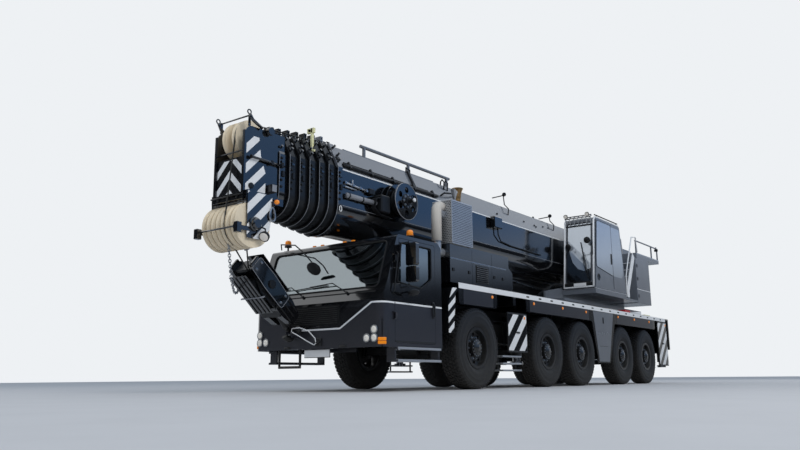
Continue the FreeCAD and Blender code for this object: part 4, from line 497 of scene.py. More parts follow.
def cab_enamel():
    """Gloss black enamel with satin charcoal below the white line."""
    material = black_enamel.copy()
    material.name = "two-tone cab enamel"
    tree = material.node_tree
    place = node(tree, "ShaderNodeTexCoord").outputs["Object"]
    spot = node(tree, "ShaderNodeSeparateXYZ", links={"Vector": place}).outputs
    across = node(tree, "ShaderNodeMath", {"operation": "SUBTRACT"}, {1: V_MIDDLE}, {0: spot["Y"]})
    away = node(tree, "ShaderNodeMath", {"operation": "ABSOLUTE"}, links={0: across})
    edge = node(tree, "ShaderNodeMapRange", values={"From Min": V_INNER, "From Max": V_OUTER, "To Min": V_LOW,
                                                    "To Max": V_HIGH}, links={"Value": away})
    below = node(tree, "ShaderNodeMath", {"operation": "LESS_THAN"}, links={0: spot["Z"], 1: edge})
    second_tone(material, below, "#232329", 0.16)
    return material


cab_paint = cab_enamel()


def boom_enamel():
    """Gloss black enamel, with satin silver above the fold of the boom's shoulder."""
    material = black_enamel.copy()
    material.name = "boom enamel in black and silver"
    tree = material.node_tree
    place = node(tree, "ShaderNodeTexCoord").outputs["Object"]
    spot = node(tree, "ShaderNodeSeparateXYZ", links={"Vector": place}).outputs
    above = node(tree, "ShaderNodeMath", {"operation": "GREATER_THAN"}, {1: BOOM_SHOULDER}, {0: spot["Z"]})
    second_tone(material, above, "#5F6268", 0.32)
    return material


boom_paint = boom_enamel()

# %% [markdown]
# The CAD nodes that already have the right shape keep it and only get their finish.

# %% Finishes on the CAD nodes
CAD_FINISHES = {"chassis_frame": chassis_paint, "axle_beams": cast_iron, "deck": black_enamel,
                "engine_cover": black_enamel, "engine_block": cast_iron, "exhaust": aluminium, "cab_shell": cab_paint,
                "cab_glass": tinted_glass, "cab_interior": seat_cloth, "door_left": cab_paint, "door_right": cab_paint,
                "hook_block": chassis_paint, "slewing_platform": grey_enamel, "crane_cab_shell": grey_enamel,
                "crane_cab_glass": booth_pane, "crane_cab_interior": seat_cloth, "crane_cab_door": grey_enamel,
                "winch_drum": chassis_paint, "luffing_barrel": chassis_paint, "luffing_rod": chrome,
                "boom_base": boom_paint, "head_sheaves": cast_nylon}
GROUP_FINISHES = (("boom_section_6", black_enamel), ("boom_section", chassis_paint), ("wheel", rim_paint),
                  ("tyre", tyre_rubber), ("knuckle", cast_iron), ("outrigger_jack", chrome),
                  ("outrigger_beam", chassis_paint))
for name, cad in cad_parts.items():
    group = next((material for start, material in GROUP_FINISHES if name.startswith(start)), None)
    cad.data.materials.clear()
    cad.data.materials.append(group or CAD_FINISHES[name])
print("finished", len(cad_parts), "CAD nodes")

# %% [markdown]
# ## Camera, floor and light
# The camera was solved from the wheels' ellipses in the photograph: a lens of 33 mm on a 36 mm sensor, 21 cm above
# the ground and looking up by 11.7 degrees. The floor is plain and pale, and large soft lamps light the crane.

# %% Camera
FOCAL_PIXELS, FRAME_WIDTH, SENSOR = 735, 800, 36
camera_data = bpy.data.cameras.new("camera")
camera_data.sensor_width = SENSOR
camera_data.lens = FOCAL_PIXELS / FRAME_WIDTH * SENSOR
camera_data.clip_end = 300
camera = bpy.data.objects.new("camera", camera_data)
bpy.context.collection.objects.link(camera)
CAMERA_SPOT = (16.415, 7.91, 0.21)
yaw, pitch, roll = [math.radians(degrees) for degrees in (217.0, 11.7, -0.47)]
ahead = Vector((math.cos(yaw) * math.cos(pitch), math.sin(yaw) * math.cos(pitch), math.sin(pitch)))
right = ahead.cross(UP).normalized()
top = right.cross(ahead)
right, top = right * math.cos(roll) + top * math.sin(roll), top * math.cos(roll) - right * math.sin(roll)
stand = Matrix((right, top, -ahead)).transposed().to_4x4()
camera.matrix_world = at(*CAMERA_SPOT) @ stand
bpy.context.scene.camera = camera

# %% Floor and world
floor_finish, floor_tree = empty_material("pale studio floor", "#CCCCCC")
floor_place = node(floor_tree, "ShaderNodeTexCoord").outputs["Object"]
floor_noise = node(floor_tree, "ShaderNodeTexNoise", values={"Scale": 1.5, "Detail": 4.0},
                   links={"Vector": floor_place})
floor_colour = node(floor_tree, "ShaderNodeMix", {"data_type": "RGBA"}, {6: linear("#C9C7C6"), 7: linear("#D3D1D0")},
                    {0: floor_noise})
floor_shader = node(floor_tree, "ShaderNodeBsdfPrincipled", values={"Roughness": 0.9},
                    links={"Base Color": floor_colour.outputs[2]})
node(floor_tree, "ShaderNodeOutputMaterial", links={"Surface": floor_shader})
floor_mesh = bpy.data.meshes.new("studio_floor")
FLOOR_HALF = 60
floor_corners = [(x * FLOOR_HALF, y * FLOOR_HALF, 0) for x, y in ((-1, -1), (1, -1), (1, 1), (-1, 1))]
floor_mesh.from_pydata(floor_corners, [], [(0, 1, 2, 3)])
floor_mesh.materials.append(floor_finish)
floor = bpy.data.objects.new("studio_floor", floor_mesh)
bpy.context.collection.objects.link(floor)

world = bpy.data.worlds.new("studio")
bpy.context.scene.world = world
world.use_nodes = True
sky_tree = world.node_tree
sky_tree.nodes.clear()
ray = node(sky_tree, "ShaderNodeLightPath").outputs
direction = node(sky_tree, "ShaderNodeTexCoord").outputs["Generated"]
look = node(sky_tree, "ShaderNodeSeparateXYZ", links={"Vector": direction}).outputs
height = node(sky_tree, "ShaderNodeMapRange", values={"From Min": -0.05, "From Max": 0.55}, links={"Value": look["Z"]})
sky = node(sky_tree, "ShaderNodeMix", {"data_type": "RGBA"}, {6: linear("#E9E7E4"), 7: linear("#A9BCD2")}, {0: height})
lighting = node(sky_tree, "ShaderNodeBackground", values={"Strength": 0.80}, links={"Color": sky.outputs[2]})
# What glossy panels mirror: a pale sky, blue on the left, with a dark treeline, and a dark hall behind the camera.
# The camera itself sees the pale backdrop alone.
PALE = linear("#EEF1F4")
left_share = node(sky_tree, "ShaderNodeMapRange", values={"From Min": 0.05, "From Max": 0.40},
                  links={"Value": look["Y"]})
left_sky = node(sky_tree, "ShaderNodeValToRGB", links={"Fac": look["Z"]})
SKY_BANDS = ((0.00, "#1D2026"), (0.115, "#2B313B"), (0.155, "#9FB0C8"), (0.22, "#6793CC"), (0.60, "#9DBEE6"),
             (1.00, "#DDE6F0"))
ramp = left_sky.color_ramp
while len(ramp.elements) < len(SKY_BANDS):
    ramp.elements.new(0.5)
for stop, (place, colour) in zip(ramp.elements, SKY_BANDS):
    stop.position, stop.color = place, linear(colour)
around = node(sky_tree, "ShaderNodeMix", {"data_type": "RGBA"}, {6: PALE}, {0: left_share, 7: left_sky})
forward = node(sky_tree, "ShaderNodeMapRange", values={"From Min": 0.10, "From Max": 0.35}, links={"Value": look["X"]})
low_down = node(sky_tree, "ShaderNodeMapRange", values={"From Min": 0.42, "From Max": 0.28}, links={"Value": look["Z"]})
hall = node(sky_tree, "ShaderNodeMath", {"operation": "MULTIPLY"}, links={0: forward, 1: low_down})
mirrored = node(sky_tree, "ShaderNodeMix", {"data_type": "RGBA"}, {7: linear("#34373D")},
                {0: hall, 6: around.outputs[2]})
seen = node(sky_tree, "ShaderNodeMix", {"data_type": "RGBA"}, {7: PALE},
            {0: ray["Is Camera Ray"], 6: mirrored.outputs[2]})
backdrop = node(sky_tree, "ShaderNodeBackground", values={"Strength": 1.0}, links={"Color": seen.outputs[2]})
straight = node(sky_tree, "ShaderNodeMath", {"operation": "MAXIMUM"},
                links={0: ray["Is Camera Ray"], 1: ray["Is Glossy Ray"]})
direct = node(sky_tree, "ShaderNodeMath", {"operation": "MAXIMUM"}, links={0: straight, 1: ray["Is Transmission Ray"]})
seen_world = node(sky_tree, "ShaderNodeMixShader", links={0: direct, 1: lighting, 2: backdrop})
node(sky_tree, "ShaderNodeOutputWorld", links={"Surface": seen_world})


def soft_lamp(name, spot, aim, size, power):
    """Large area lamp aimed at a point, not mirrored itself in the glossy panels."""
    data = bpy.data.lights.new(name, "AREA")
    data.energy, data.size = power, size
    lamp = bpy.data.objects.new(name, data)
    lamp.visible_glossy = False
    bpy.context.collection.objects.link(lamp)
    lamp.matrix_world = axis_place(spot, Vector(spot) - Vector(aim))
    return lamp


soft_lamp("key", (12, 16, 14), (2, 0, 1.5), 9, 1500)
soft_lamp("fill", (20, -8, 10), (4, 0, 1.5), 9, 500)
soft_lamp("rim", (-14, 6, 12), (0, 0, 2), 8, 500)
bpy.context.scene.view_settings.view_transform = "Standard"

# %% [markdown]
# ## Tyres
# The real tyres are wide single radials with a block tread. The carcass is turned from its profile, and the tread
# blocks stand on it in six rings, so that the grooves are real and the shoulder has its row of lugs.

# %% One tyre
TREAD_RADIUS, GROOVE = 0.685, 0.018
CARCASS = [(0.322, 0.1435), (0.345, 0.1455), (0.350, 0.149), (0.362, 0.158), (0.385, 0.172), (0.42, 0.186),
           (0.425, 0.1895), (0.432, 0.1895), (0.437, 0.1905), (0.47, 0.192), (0.52, 0.1915), (0.525, 0.1925),
           (0.531, 0.1925), (0.536, 0.190), (0.575, 0.1865), (0.60, 0.1835), (0.605, 0.1855), (0.612, 0.1855),
           (0.616, 0.182), (0.64, 0.174), (0.655, 0.164), (TREAD_RADIUS - GROOVE, 0.150),
           (TREAD_RADIUS - GROOVE, 0.075), (TREAD_RADIUS - GROOVE, 0.0)]
carcass = lathe(CARCASS + [(radius, -along) for radius, along in reversed(CARCASS[:-1])], sides=72)


def tread_block(y_low, y_high, length, skew, shoulder=0.0):
    """One tread block at the top of the tyre, pointing outwards along X, narrower at its top."""
    verts, faces = [], []
    for radius, shrink in ((TREAD_RADIUS - GROOVE - 0.004, 0.0), (TREAD_RADIUS - 0.002, 0.002), (TREAD_RADIUS, 0.005)):
        for along, y in ((-1, y_low), (1, y_low), (1, y_high), (-1, y_high)):
            out = shoulder if abs(y) > 0.14 else 0.0
            tip = y - math.copysign(shrink, y - (y_low + y_high) / 2)
            swing = (tip - y_low) / (y_high - y_low) * skew
            turn = (along * (length / 2 - shrink) + swing) / TREAD_RADIUS
            reach = radius - out * (1 if radius > TREAD_RADIUS - 0.01 else 0.4)
            verts.append(Vector((reach * math.cos(turn), reach * math.sin(turn), tip)))
    for level in (0, 4):
        faces += [[level + i, level + (i + 1) % 4, level + 4 + (i + 1) % 4, level + 4 + i] for i in range(4)]
    faces += [[8, 9, 10, 11], [3, 2, 1, 0]]
    return verts, faces


LUGS = 56
# both edges across the tyre, length, skew, how far the shoulder drops, and the shift in parts of a pitch
TREAD_ROWS = [(0.006, 0.050, 0.058, 0.020, 0.0, 0.0), (-0.050, -0.006, 0.058, 0.020, 0.0, 0.5),
              (0.060, 0.104, 0.056, 0.016, 0.0, 0.3), (-0.104, -0.060, 0.056, 0.016, 0.0, 0.8),
              (0.114, 0.166, 0.050, 0.006, 0.011, 0.0), (-0.166, -0.114, 0.050, -0.006, 0.011, 0.5)]
tread = []
for y_low, y_high, length, skew, shoulder, shift in TREAD_ROWS:
    copies = repeat(tread_block(y_low, y_high, length, skew, shoulder), RING, tyre_rubber, Count=LUGS, Radius=0.0)
    tread.append((copies, Matrix.Rotation(math.tau / LUGS * shift, 4, "Z")))
SIDE_BARS = repeat(block((0.622, -0.007, 0.168), (0.650, 0.007, 0.180), 0.003), RING, tyre_rubber, Count=LUGS,
                   Radius=0.0)

# %% [markdown]
# ## Wheels
# Each disc wheel is held by ten nuts round the planetary hub. The hand holes in the disc and the bolts of the
# hub's cover are what gives such a wheel its look. Rings of small forms come from the ring tree.

# %% Nuts, hub bolts and hand holes
NUT = lathe([(0, 0.0), (0.021, 0.0), (0.021, 0.006), (0.0165, 0.008), (0.0165, 0.024), (0.013, 0.030), (0, 0.030)], 6)
BOLT = lathe([(0, 0.0), (0.011, 0.0), (0.011, 0.008), (0.009, 0.011), (0, 0.011)], 6)
HAND_HOLE = lathe([(0.030, 0.0), (0.034, 0.004), (0.037, 0.004), (0.040, 0.0)], 20)
DISC_FACE, HUB_FACE, HUB_TIP = 0.081, 0.150, 0.168
NUTS = repeat(NUT, RING, steel_bright, Count=10, Radius=0.182)
HAND_HOLES = repeat(HAND_HOLE, RING, rim_paint, Count=10, Radius=0.236)
HUB_BOLTS = repeat(BOLT, RING, steel_bright, Count=14, Radius=0.132)
HUB_CAP = lathe([(0, 0.0), (0.118, 0.0), (0.118, 0.012), (0.108, 0.020), (0.070, 0.024), (0.066, 0.034), (0.058, 0.040),
                 (0, 0.042)], 36)
half_step = Matrix.Rotation(math.tau / 20, 4, "Z")
for number, x in AXLE_X.items():
    for side, sign in SIDES:
        hub = side_place(x, HUB_Y, HUB_Z, sign)
        rubber = Workpiece(f"tread_{number}_{side}")
        rubber.add(carcass, tyre_rubber, hub, smooth=True)
        for copies, turn in tread:
            rubber.add(copies, tyre_rubber, hub @ turn)
        rubber.add(SIDE_BARS, tyre_rubber, hub)
        rubber.done(f"wheel_{number}_{side}", stands_for=[f"tyre_{number}_{side}"])
        fittings = Workpiece(f"hub_fittings_{number}_{side}")
        on_disc = hub @ at(0, 0, DISC_FACE)
        fittings.add(NUTS, steel_bright, on_disc)
        fittings.add(HAND_HOLES, rim_paint, on_disc @ half_step, smooth=True)
        fittings.add(HUB_BOLTS, steel_bright, hub @ at(0, 0, HUB_FACE + 0.002))
        fittings.add(HUB_CAP, rim_paint, hub @ at(0, 0, HUB_TIP - 0.018), smooth=True)
        fittings.done(f"wheel_{number}_{side}")

# %% [markdown]
# ## Stripes
# White retro-reflective sheet with black bars warns traffic at the boom head, behind the cab doors and on the
# outrigger covers. A flat outline is cut into bands along parallel lines, and each band gets its own finish.

# %% Striped sheet
def striped(piece, outline, origin, across, upward, pitch, slant, thickness=0.003, duty=0.5, phase=0.0):
    """Adds a sheet whose outline lies in the plane of two directions, cut into slanted bands of two finishes."""
    across, upward = Vector(across), Vector(upward)
    normal = across.cross(upward)
    sheet = bmesh.new()
    sheet.faces.new([sheet.verts.new((x, y, 0)) for x, y in outline])
    cut_normal = Vector((-math.sin(math.radians(slant)), math.cos(math.radians(slant)), 0))
    spans = [v.co.dot(cut_normal) for v in sheet.verts]
    first = math.floor(min(spans) / pitch) - 1
    last = math.ceil(max(spans) / pitch) + 1
    for i in range(first, last):
        for part in (0, duty):
            place = cut_normal * (i + part + phase) * pitch
            bmesh.ops.bisect_plane(sheet, geom=sheet.verts[:] + sheet.edges[:] + sheet.faces[:], plane_co=place,
                                   plane_no=cut_normal)
    for face in sheet.faces:
        value = (face.calc_center_median().dot(cut_normal) / pitch - phase) % 1
        lower = [Vector(origin) + across * v.co.x + upward * v.co.y for v in face.verts]
        band = plate(lower, [v + normal * thickness for v in lower])
        piece.add(band, white_enamel if value < duty else black_enamel)
    sheet.free()


def striped_side(piece, outline, y, pitch, slant, sign, **more):
    """Striped sheet on one side of the machine, from its outline of (x, z) points seen from the right."""
    if sign > 0:
        outline = [(-x, z) for x, z in outline]
    striped(piece, outline, (0, y * sign, 0), (-sign, 0, 0), (0, 0, 1), pitch, slant * sign, **more)

# %% [markdown]
# ## The driver's cab
# The windscreen lies in a sloping plane, so one helper gives the place of a point on it from its distance across
# and its height. Seals, wipers, lamps, steps and the white line are trim on the shell, and the door carries its own.

# %% Trim on the cab shell
SCREEN_FOOT, SCREEN_HEAD = Vector((8.060, 0, 1.475)), Vector((7.775, 0, 2.325))
SCREEN_SLOPE = (SCREEN_HEAD.x - SCREEN_FOOT.x) / (SCREEN_HEAD.z - SCREEN_FOOT.z)


def on_screen(y, z, proud=0.0):
    """Point on the windscreen's plane, or a little in front of it."""
    normal = Vector((1, 0, -SCREEN_SLOPE)).normalized()
    return Vector((SCREEN_FOOT.x + (z - SCREEN_FOOT.z) * SCREEN_SLOPE, y, z)) + normal * proud


def loop_on_screen(y, low, high, radius, proud):
    outline = rounded([(-y, low), (y, low), (y, high), (-y, high)], radius)
    return [on_screen(a, b, proud) for a, b in outline]


cab = Workpiece("cab_trim")
cab.bar(loop_on_screen(1.19, 1.52, 2.235, 0.08, 0.002), 0.014, 8, black_rubber, closed=True)
cab.bar([(6.612, a, b) for a, b in rounded([(-0.65, 1.52), (0.65, 1.52), (0.65, 2.205), (-0.65, 2.205)], 0.04)], 0.012,
        8, black_rubber, closed=True)

# the white line: down the V on the front, round both corners and back to the door
CORNER = 0.150
quarter = [(CORNER * math.sin(math.pi / 24 * k), CORNER * math.cos(math.pi / 24 * k)) for k in range(13)]
left_bend = [Vector((CAB_FRONT - CORNER + dx, CAB_SIDE - CORNER + dy, V_HIGH)) for dx, dy in quarter]
left_bend = [Vector((7.852, CAB_SIDE, V_HIGH)), *left_bend]
right_bend = [Vector((p.x, -p.y, p.z)) for p in reversed(left_bend)]
v_places = [V_MIDDLE + away for away in (V_OUTER, V_INNER, -V_INNER, -V_OUTER)]
v_line = [Vector((CAB_FRONT, y, line_height(y))) for y in v_places]
line_points = left_bend + v_line + right_bend


def tape(points, outward, width, proud=0.003):
    """Flat tape that follows a run of points on a surface, with the given outward directions."""
    verts, faces = [], []
    for i, point in enumerate(points):
        ahead = (points[min(i + 1, len(points) - 1)] - points[max(i - 1, 0)]).normalized()
        normal = outward(point)
        side = normal.cross(ahead).normalized() * (width / 2)
        verts += [point + side, point - side, point - side + normal * proud, point + side + normal * proud]
    for i in range(len(points) - 1):
        for k in range(4):
            faces.append([i * 4 + k, i * 4 + (k + 1) % 4, i * 4 + 4 + (k + 1) % 4, i * 4 + 4 + k])
    faces += [[0, 1, 2, 3], [len(verts) - 1 - k for k in range(4)]]
    return verts, faces


def cab_outward(point):
    """Outward direction of the cab's wall at a point of the white line."""
    across = max(0.0, abs(point.y) - (CAB_SIDE - CORNER))
    along = max(0.0, point.x - (CAB_FRONT - CORNER))
    return Vector((along if abs(point.y) > CAB_SIDE - CORNER else 1.0, math.copysign(across, point.y), 0)).normalized()


cab.add(tape(line_points, cab_outward, 2 * LINE_HALF), white_enamel)
for sign in (1, -1):
    cab.box((6.62, CAB_SIDE * sign - 0.001, V_HIGH - LINE_HALF),
            (6.785, CAB_SIDE * sign + 0.004 * sign, V_HIGH + LINE_HALF), 0.001, white_enamel)

# lamp bezels and their clear domes, three a side, and the turn signals at the corners
BEZEL = lathe([(0.050, -0.002), (0.058, 0.006), (0.064, 0.004), (0.066, -0.004)], 32)
DOME = lathe([(0, 0.018), (0.025, 0.016), (0.045, 0.009), (0.051, 0.0), (0, 0.0)], 28)
for sign in (1, -1):
    for y, z in ((1.195, 0.770), (1.055, 0.770), (1.195, 0.890)):
        spot = axis_place((CAB_FRONT + 0.012, y * sign, z), (1, 0, 0))
        cab.add(BEZEL, steel_bright, spot, smooth=True)
        cab.add(DOME, clear_lens, spot, smooth=True)
    for z in (0.700, 0.752):
        middle = Vector((CAB_FRONT - 0.052, (CAB_SIDE - 0.052) * sign, z))
        lean = at(*middle) @ Matrix.Rotation(math.radians(45 * sign), 4, "Z")
        cab.box((-0.012, -0.062, -0.023), (0.020, 0.062, 0.023), 0.006, amber_lens, lean)

# black lower panel of the screen, ribbed air intake and the wipers
cab.box((8.052, -1.17, 1.395), (8.078, 1.17, 1.462), 0.006, plastic)
INTAKE_BAR = block((-0.004, -0.46, -0.006), (0.008, 0.46, 0.006), 0.002)
cab.copies(INTAKE_BAR, LINE, plastic, at(CAB_FRONT, V_MIDDLE, 1.02), Count=9, Step=(0, 0, 0.030))
# near-black sheet behind the intake's bars: painted shade of the recess
cab.box((CAB_FRONT - 0.002, V_MIDDLE - 0.50, 0.99), (CAB_FRONT + 0.003, V_MIDDLE + 0.50, 1.29), 0.002, hole_shade_and_joint_black)
for y_root, y_tip in ((0.62, -0.18), (-0.30, -1.02)):
    root, knee = Vector((8.072, y_root, 1.455)), on_screen(y_tip * 0.4 + y_root * 0.6, 1.62, 0.045)
    tip = on_screen(y_tip, 1.60, 0.030)
    cab.bar([root, knee, tip], 0.008, 8, plastic)
    cab.add(lathe([(0, 0), (0.022, 0), (0.022, 0.03), (0, 0.034)], 16), plastic, axis_place(root, (1, 0, 0.3)))
    blade = [on_screen(tip.y + dy, 1.60 + dy * 0.06, 0.012) for dy in (-0.34, 0.34)]
    cab.bar(blade, 0.009, 6, black_rubber, smooth=False)

# front mirror on its long arm, beacons, marker lamps and flat boxes on the roof
arm = [(7.80, -1.10, 2.34), (7.93, -0.98, 2.40), (8.02, -0.56, 2.33), (8.07, -0.32, 2.18), (8.08, -0.10, 1.98)]
cab.bar(arm, 0.011, 8, plastic)
cab.add(lathe([(0, -0.035), (0.085, -0.030), (0.118, -0.008), (0.120, 0.010), (0.108, 0.016), (0, 0.020)], 28), plastic,
        axis_place((8.095, -0.06, 1.89), (0.75, 0.1, -0.66)), smooth=True)
BEACON = lathe([(0, 0.0), (0.062, 0.0), (0.062, 0.022), (0.054, 0.026)], 28)
BEACON_LENS = lathe([(0, 0.024), (0.055, 0.024), (0.054, 0.085), (0.046, 0.108), (0.025, 0.120), (0, 0.123)], 28)
for spot in ((7.62, -1.13, 2.325), (7.05, 1.05, 2.325)):
    foot = at(*spot)
    cab.box((-0.05, -0.05, -0.01), (0.05, 0.05, 0.02), 0.004, plastic, foot)
    cab.bar([(0, 0, 0), (0, 0, 0.09)], 0.016, 10, plastic, foot, smooth=False)
    cab.add(BEACON, plastic, foot @ at(0, 0, 0.085), smooth=True)
    cab.add(BEACON_LENS, amber_lens, foot @ at(0, 0, 0.085), smooth=True)
for y in (-0.42, -0.24, 0.24, 0.42):
    cab.box((7.69, y - 0.03, 2.318), (7.73, y + 0.03, 2.345), 0.006, amber_lens)
cab.box((6.76, -1.20, 2.320), (7.50, -0.20, 2.334), 0.006, plastic)
cab.box((6.80, 0.12, 2.320), (7.40, 0.80, 2.345), 0.010, plastic)

# blank number plate, its lamps, the hollow step frame and the towing eyes
cab.box((8.085, -0.235, 0.52), (8.093, 0.285, 0.63), 0.002, white_enamel)
cab.box((8.078, -0.245, 0.51), (8.087, 0.295, 0.64), 0.003, plastic)
for y in (-0.10, 0.15):
    cab.box((8.04, y - 0.02, 0.60), (8.082, y + 0.02, 0.662), 0.004, plastic)
STEP_FRAME = [(8.02, -0.86, 0.66), (8.02, -0.86, 0.375), (8.02, -0.40, 0.375), (8.02, -0.40, 0.66)]
cab.bar(STEP_FRAME, 0.024, 8, chassis_paint, smooth=False)
for y in (-0.56, 0.60):
    cab.bar([(8.10, y - 0.05, 0.665), (8.15, y - 0.05, 0.67), (8.17, y, 0.67), (8.15, y + 0.05, 0.67),
             (8.10, y + 0.05, 0.665)], 0.014, 8, chassis_paint)

# side steps with bright treads, grab rails and short panel joints on the front
TREAD_RIB = block((-0.010, -0.075, 0.0), (0.010, 0.075, 0.005), 0.002)
for sign in (1, -1):
    for z in (0.640, 0.460):
        cab.box((6.66, 1.17, z), (7.78, 1.352, z + 0.006), 0.002, aluminium, sign=sign)
        cab.box((6.66, 1.346, z - 0.028), (7.78, 1.354, z + 0.005), 0.002, aluminium, sign=sign)
    for z in (0.646, 0.466):
        cab.copies(TREAD_RIB, LINE, aluminium, at(6.70, 1.26 * sign, z), Count=22, Step=(0.05, 0, 0))
    rail = [(7.90, (CAB_SIDE + 0.001) * sign, 1.42), (7.90, (CAB_SIDE + 0.035) * sign, 1.45),
            (7.80, (CAB_SIDE + 0.035) * sign, 2.02), (7.79, (CAB_SIDE + 0.001) * sign, 2.05)]
    cab.bar(rail, 0.010, 8, plastic)
for y in (-0.78, 0.82):
    cab.box((CAB_FRONT - 0.001, y - 0.003, 1.30), (CAB_FRONT + 0.0015, y + 0.003, 1.33), 0.0005, hole_shade_and_joint_black)
cab.done("carrier")

# %% [markdown]
# The doors carry their own seals, handles, line and mirror glass, so that all of it swings with them.

# %% Trim on the doors
WINDOW = rounded([(7.170, 1.550), (7.780, 1.600), (7.675, 2.205), (6.900, 2.205), (6.900, 1.710)], 0.04)
for side, sign in SIDES:
    door = Workpiece(f"door_trim_{side}")
    seal = [(x, (CAB_SIDE + 0.001) * sign, z) for x, z in WINDOW]
    door.bar(seal, 0.011, 8, black_rubber, closed=True)
    door.add(upright(WINDOW, 1.318, 1.324, sign), tinted_glass)
    lines = ((7.836, V_HIGH - LINE_HALF, V_HIGH + LINE_HALF, white_enamel), (7.832, 0.712, 0.735, plastic))
    for x_end, z_low, z_high, material in lines:
        door.box((6.80, CAB_SIDE, z_low), (x_end, CAB_SIDE + 0.004, z_high), 0.001, material, sign=sign)
    handle_out = CAB_SIDE + (0.015 if sign > 0 else 0.030)
    door.box((6.83, CAB_SIDE, 1.10), (6.885, handle_out, 1.36), 0.008, plastic, sign=sign)
    door.bar([(6.857, (CAB_SIDE + 0.002) * sign, 1.12), (6.857, (CAB_SIDE + 0.036) * sign, 1.15),
              (6.857, (CAB_SIDE + 0.036) * sign, 1.31), (6.857, (CAB_SIDE + 0.002) * sign, 1.34)], 0.011, 8, plastic)
    for low, high in ((1.62, 1.825), (1.865, 2.17)):
        door.box((7.5575, 1.415, low), (7.5605, 1.575, high), 0.001, mirror_glass, sign=sign)
    near = [(7.52, (CAB_SIDE + 0.002) * sign, 1.47), (7.56, 1.44 * sign, 1.455), (7.58, 1.50 * sign, 1.45)]
    door.bar(near, 0.012, 8, plastic)
    door.add(lathe([(0, -0.035), (0.06, -0.030), (0.088, -0.006), (0.088, 0.012), (0, 0.016)], 24), plastic,
             axis_place((7.58, 1.50 * sign, 1.44), (0.2, 0.35 * sign, -1)), smooth=True)
    door.done(f"door_{side}")

# %% [markdown]
# ## Engine cover, exhaust and deck
# The silencer hides behind a perforated heat shield. Its holes are dark discs of painted shade on a staggered grid from
# Geometry Nodes, which costs far fewer triangles than cutting them and looks the same from a few metres away.

# %% Heat shield and pipe
SILENCER_X, SILENCER_Y, SILENCER_Z = (5.665, 6.300), (1.000, HALF_WIDTH), (2.390, 3.130)
HOLE = lathe([(0, 0.0012), (0.0105, 0.0012), (0.0105, -0.0005), (0, -0.0005)], 6)
exhaust = Workpiece("exhaust_trim")


def perforated(width, height, origin, across, upward):
    """Sheet of holes, drawn as discs of painted shade, on a plane given by its middle and two directions."""
    columns, rows = int(width / 0.034), int(height / 0.030)
    holes = repeat(HOLE, GRID, hole_shade_and_joint_black, Width=width - 0.05, Height=height - 0.05, Columns=columns, Rows=rows,
                   Stagger=0.017)
    across, upward = Vector(across), Vector(upward)
    lay = Matrix((across, upward, across.cross(upward))).transposed().to_4x4()
    exhaust.add(holes, hole_shade_and_joint_black, at(*origin) @ lay)


mid_x, mid_y, mid_z = [sum(span) / 2 for span in (SILENCER_X, SILENCER_Y, SILENCER_Z)]
long_x, long_y, long_z = [span[1] - span[0] for span in (SILENCER_X, SILENCER_Y, SILENCER_Z)]
perforated(long_x, long_z, (mid_x, SILENCER_Y[1] + 0.0005, mid_z), (-1, 0, 0), (0, 0, 1))
perforated(long_y, long_z, (SILENCER_X[1] + 0.0005, mid_y, mid_z), (0, 1, 0), (0, 0, 1))
perforated(long_y, long_z, (SILENCER_X[0] - 0.0005, mid_y, mid_z), (0, -1, 0), (0, 0, 1))
for x in SILENCER_X:
    for y in SILENCER_Y:
        exhaust.box((x - 0.012, y - 0.012, SILENCER_Z[0]), (x + 0.006, y + 0.004, SILENCER_Z[1] + 0.004), 0.003,
                    aluminium)
exhaust.box((SILENCER_X[0] - 0.004, SILENCER_Y[0] - 0.004, SILENCER_Z[1] - 0.02),
            (SILENCER_X[1] + 0.004, SILENCER_Y[1] + 0.004, SILENCER_Z[1] + 0.006), 0.004, aluminium)
PIPE_X, PIPE_Y, PIPE_RADIUS = 6.450, 1.165, 0.075
CLAMP = lathe([(PIPE_RADIUS - 0.004, 0), (PIPE_RADIUS + 0.010, 0), (PIPE_RADIUS + 0.010, 0.024),
               (PIPE_RADIUS - 0.004, 0.024)], 32)
for z in (2.40, 2.56, 2.74):
    exhaust.add(CLAMP, steel_bright, at(PIPE_X, PIPE_Y, z))
exhaust.add(lathe([(0.030, 0.0), (0.052, 0.0), (0.056, 0.05), (0.070, 0.16), (0.102, 0.232), (0.100, 0.236),
                   (0.066, 0.165), (0.046, 0.05)], 32), scorched_steel, at(5.815, 1.1875, 3.208), smooth=True)
# heat wrap round the rising pipe and its bend into the shield
bend = [(PIPE_X - 0.10 * (1 - math.cos(a)), PIPE_Y, 2.93 + 0.10 * math.sin(a)) for a in (0, 0.5, 1.0, math.pi / 2)]
exhaust.bar([(PIPE_X, PIPE_Y, 2.42), *bend, (SILENCER_X[1] - 0.01, PIPE_Y, 3.03)], 0.086, 20, heat_wrap)
exhaust.done("carrier")

# %% [markdown]
# The engine cover gets its bright edge line, panel joints, louvres and latches. The deck gets the aluminium edge
# rail with its lashing slots, an anti-slip coat, lamps, and striped sheets behind the cab and on the end covers.

# %% Engine cover trim
cover = Workpiece("cover_trim")
COVER_SIDE = 1.330
LOUVRE = block((-0.20, -0.010, -0.011), (0.20, 0.012, 0.009), 0.005)
for sign in (1, -1):
    cover.box((4.42, COVER_SIDE, 2.135), (6.315, COVER_SIDE + 0.004, 2.155), 0.001, steel_bright, sign=sign)
    for x in (4.95, 5.62):
        cover.box((x - 0.002, COVER_SIDE, 1.76), (x + 0.002, COVER_SIDE + 0.0015, 2.36), 0.0005, hole_shade_and_joint_black, sign=sign)
    # near-black sheet behind the louvres: painted shade in their recess
    cover.box((5.07, COVER_SIDE, 1.80), (5.51, COVER_SIDE + 0.002, 2.11), 0.001, hole_shade_and_joint_black, sign=sign)
    cover.copies(LOUVRE, LINE, black_enamel, at(5.29, COVER_SIDE * sign, 1.82), Count=9, Step=(0, 0, 0.034))
    for x in (4.55, 4.86, 5.72, 6.22):
        cover.box((x - 0.03, COVER_SIDE, 1.93), (x + 0.03, COVER_SIDE + 0.014, 1.985), 0.004, plastic, sign=sign)
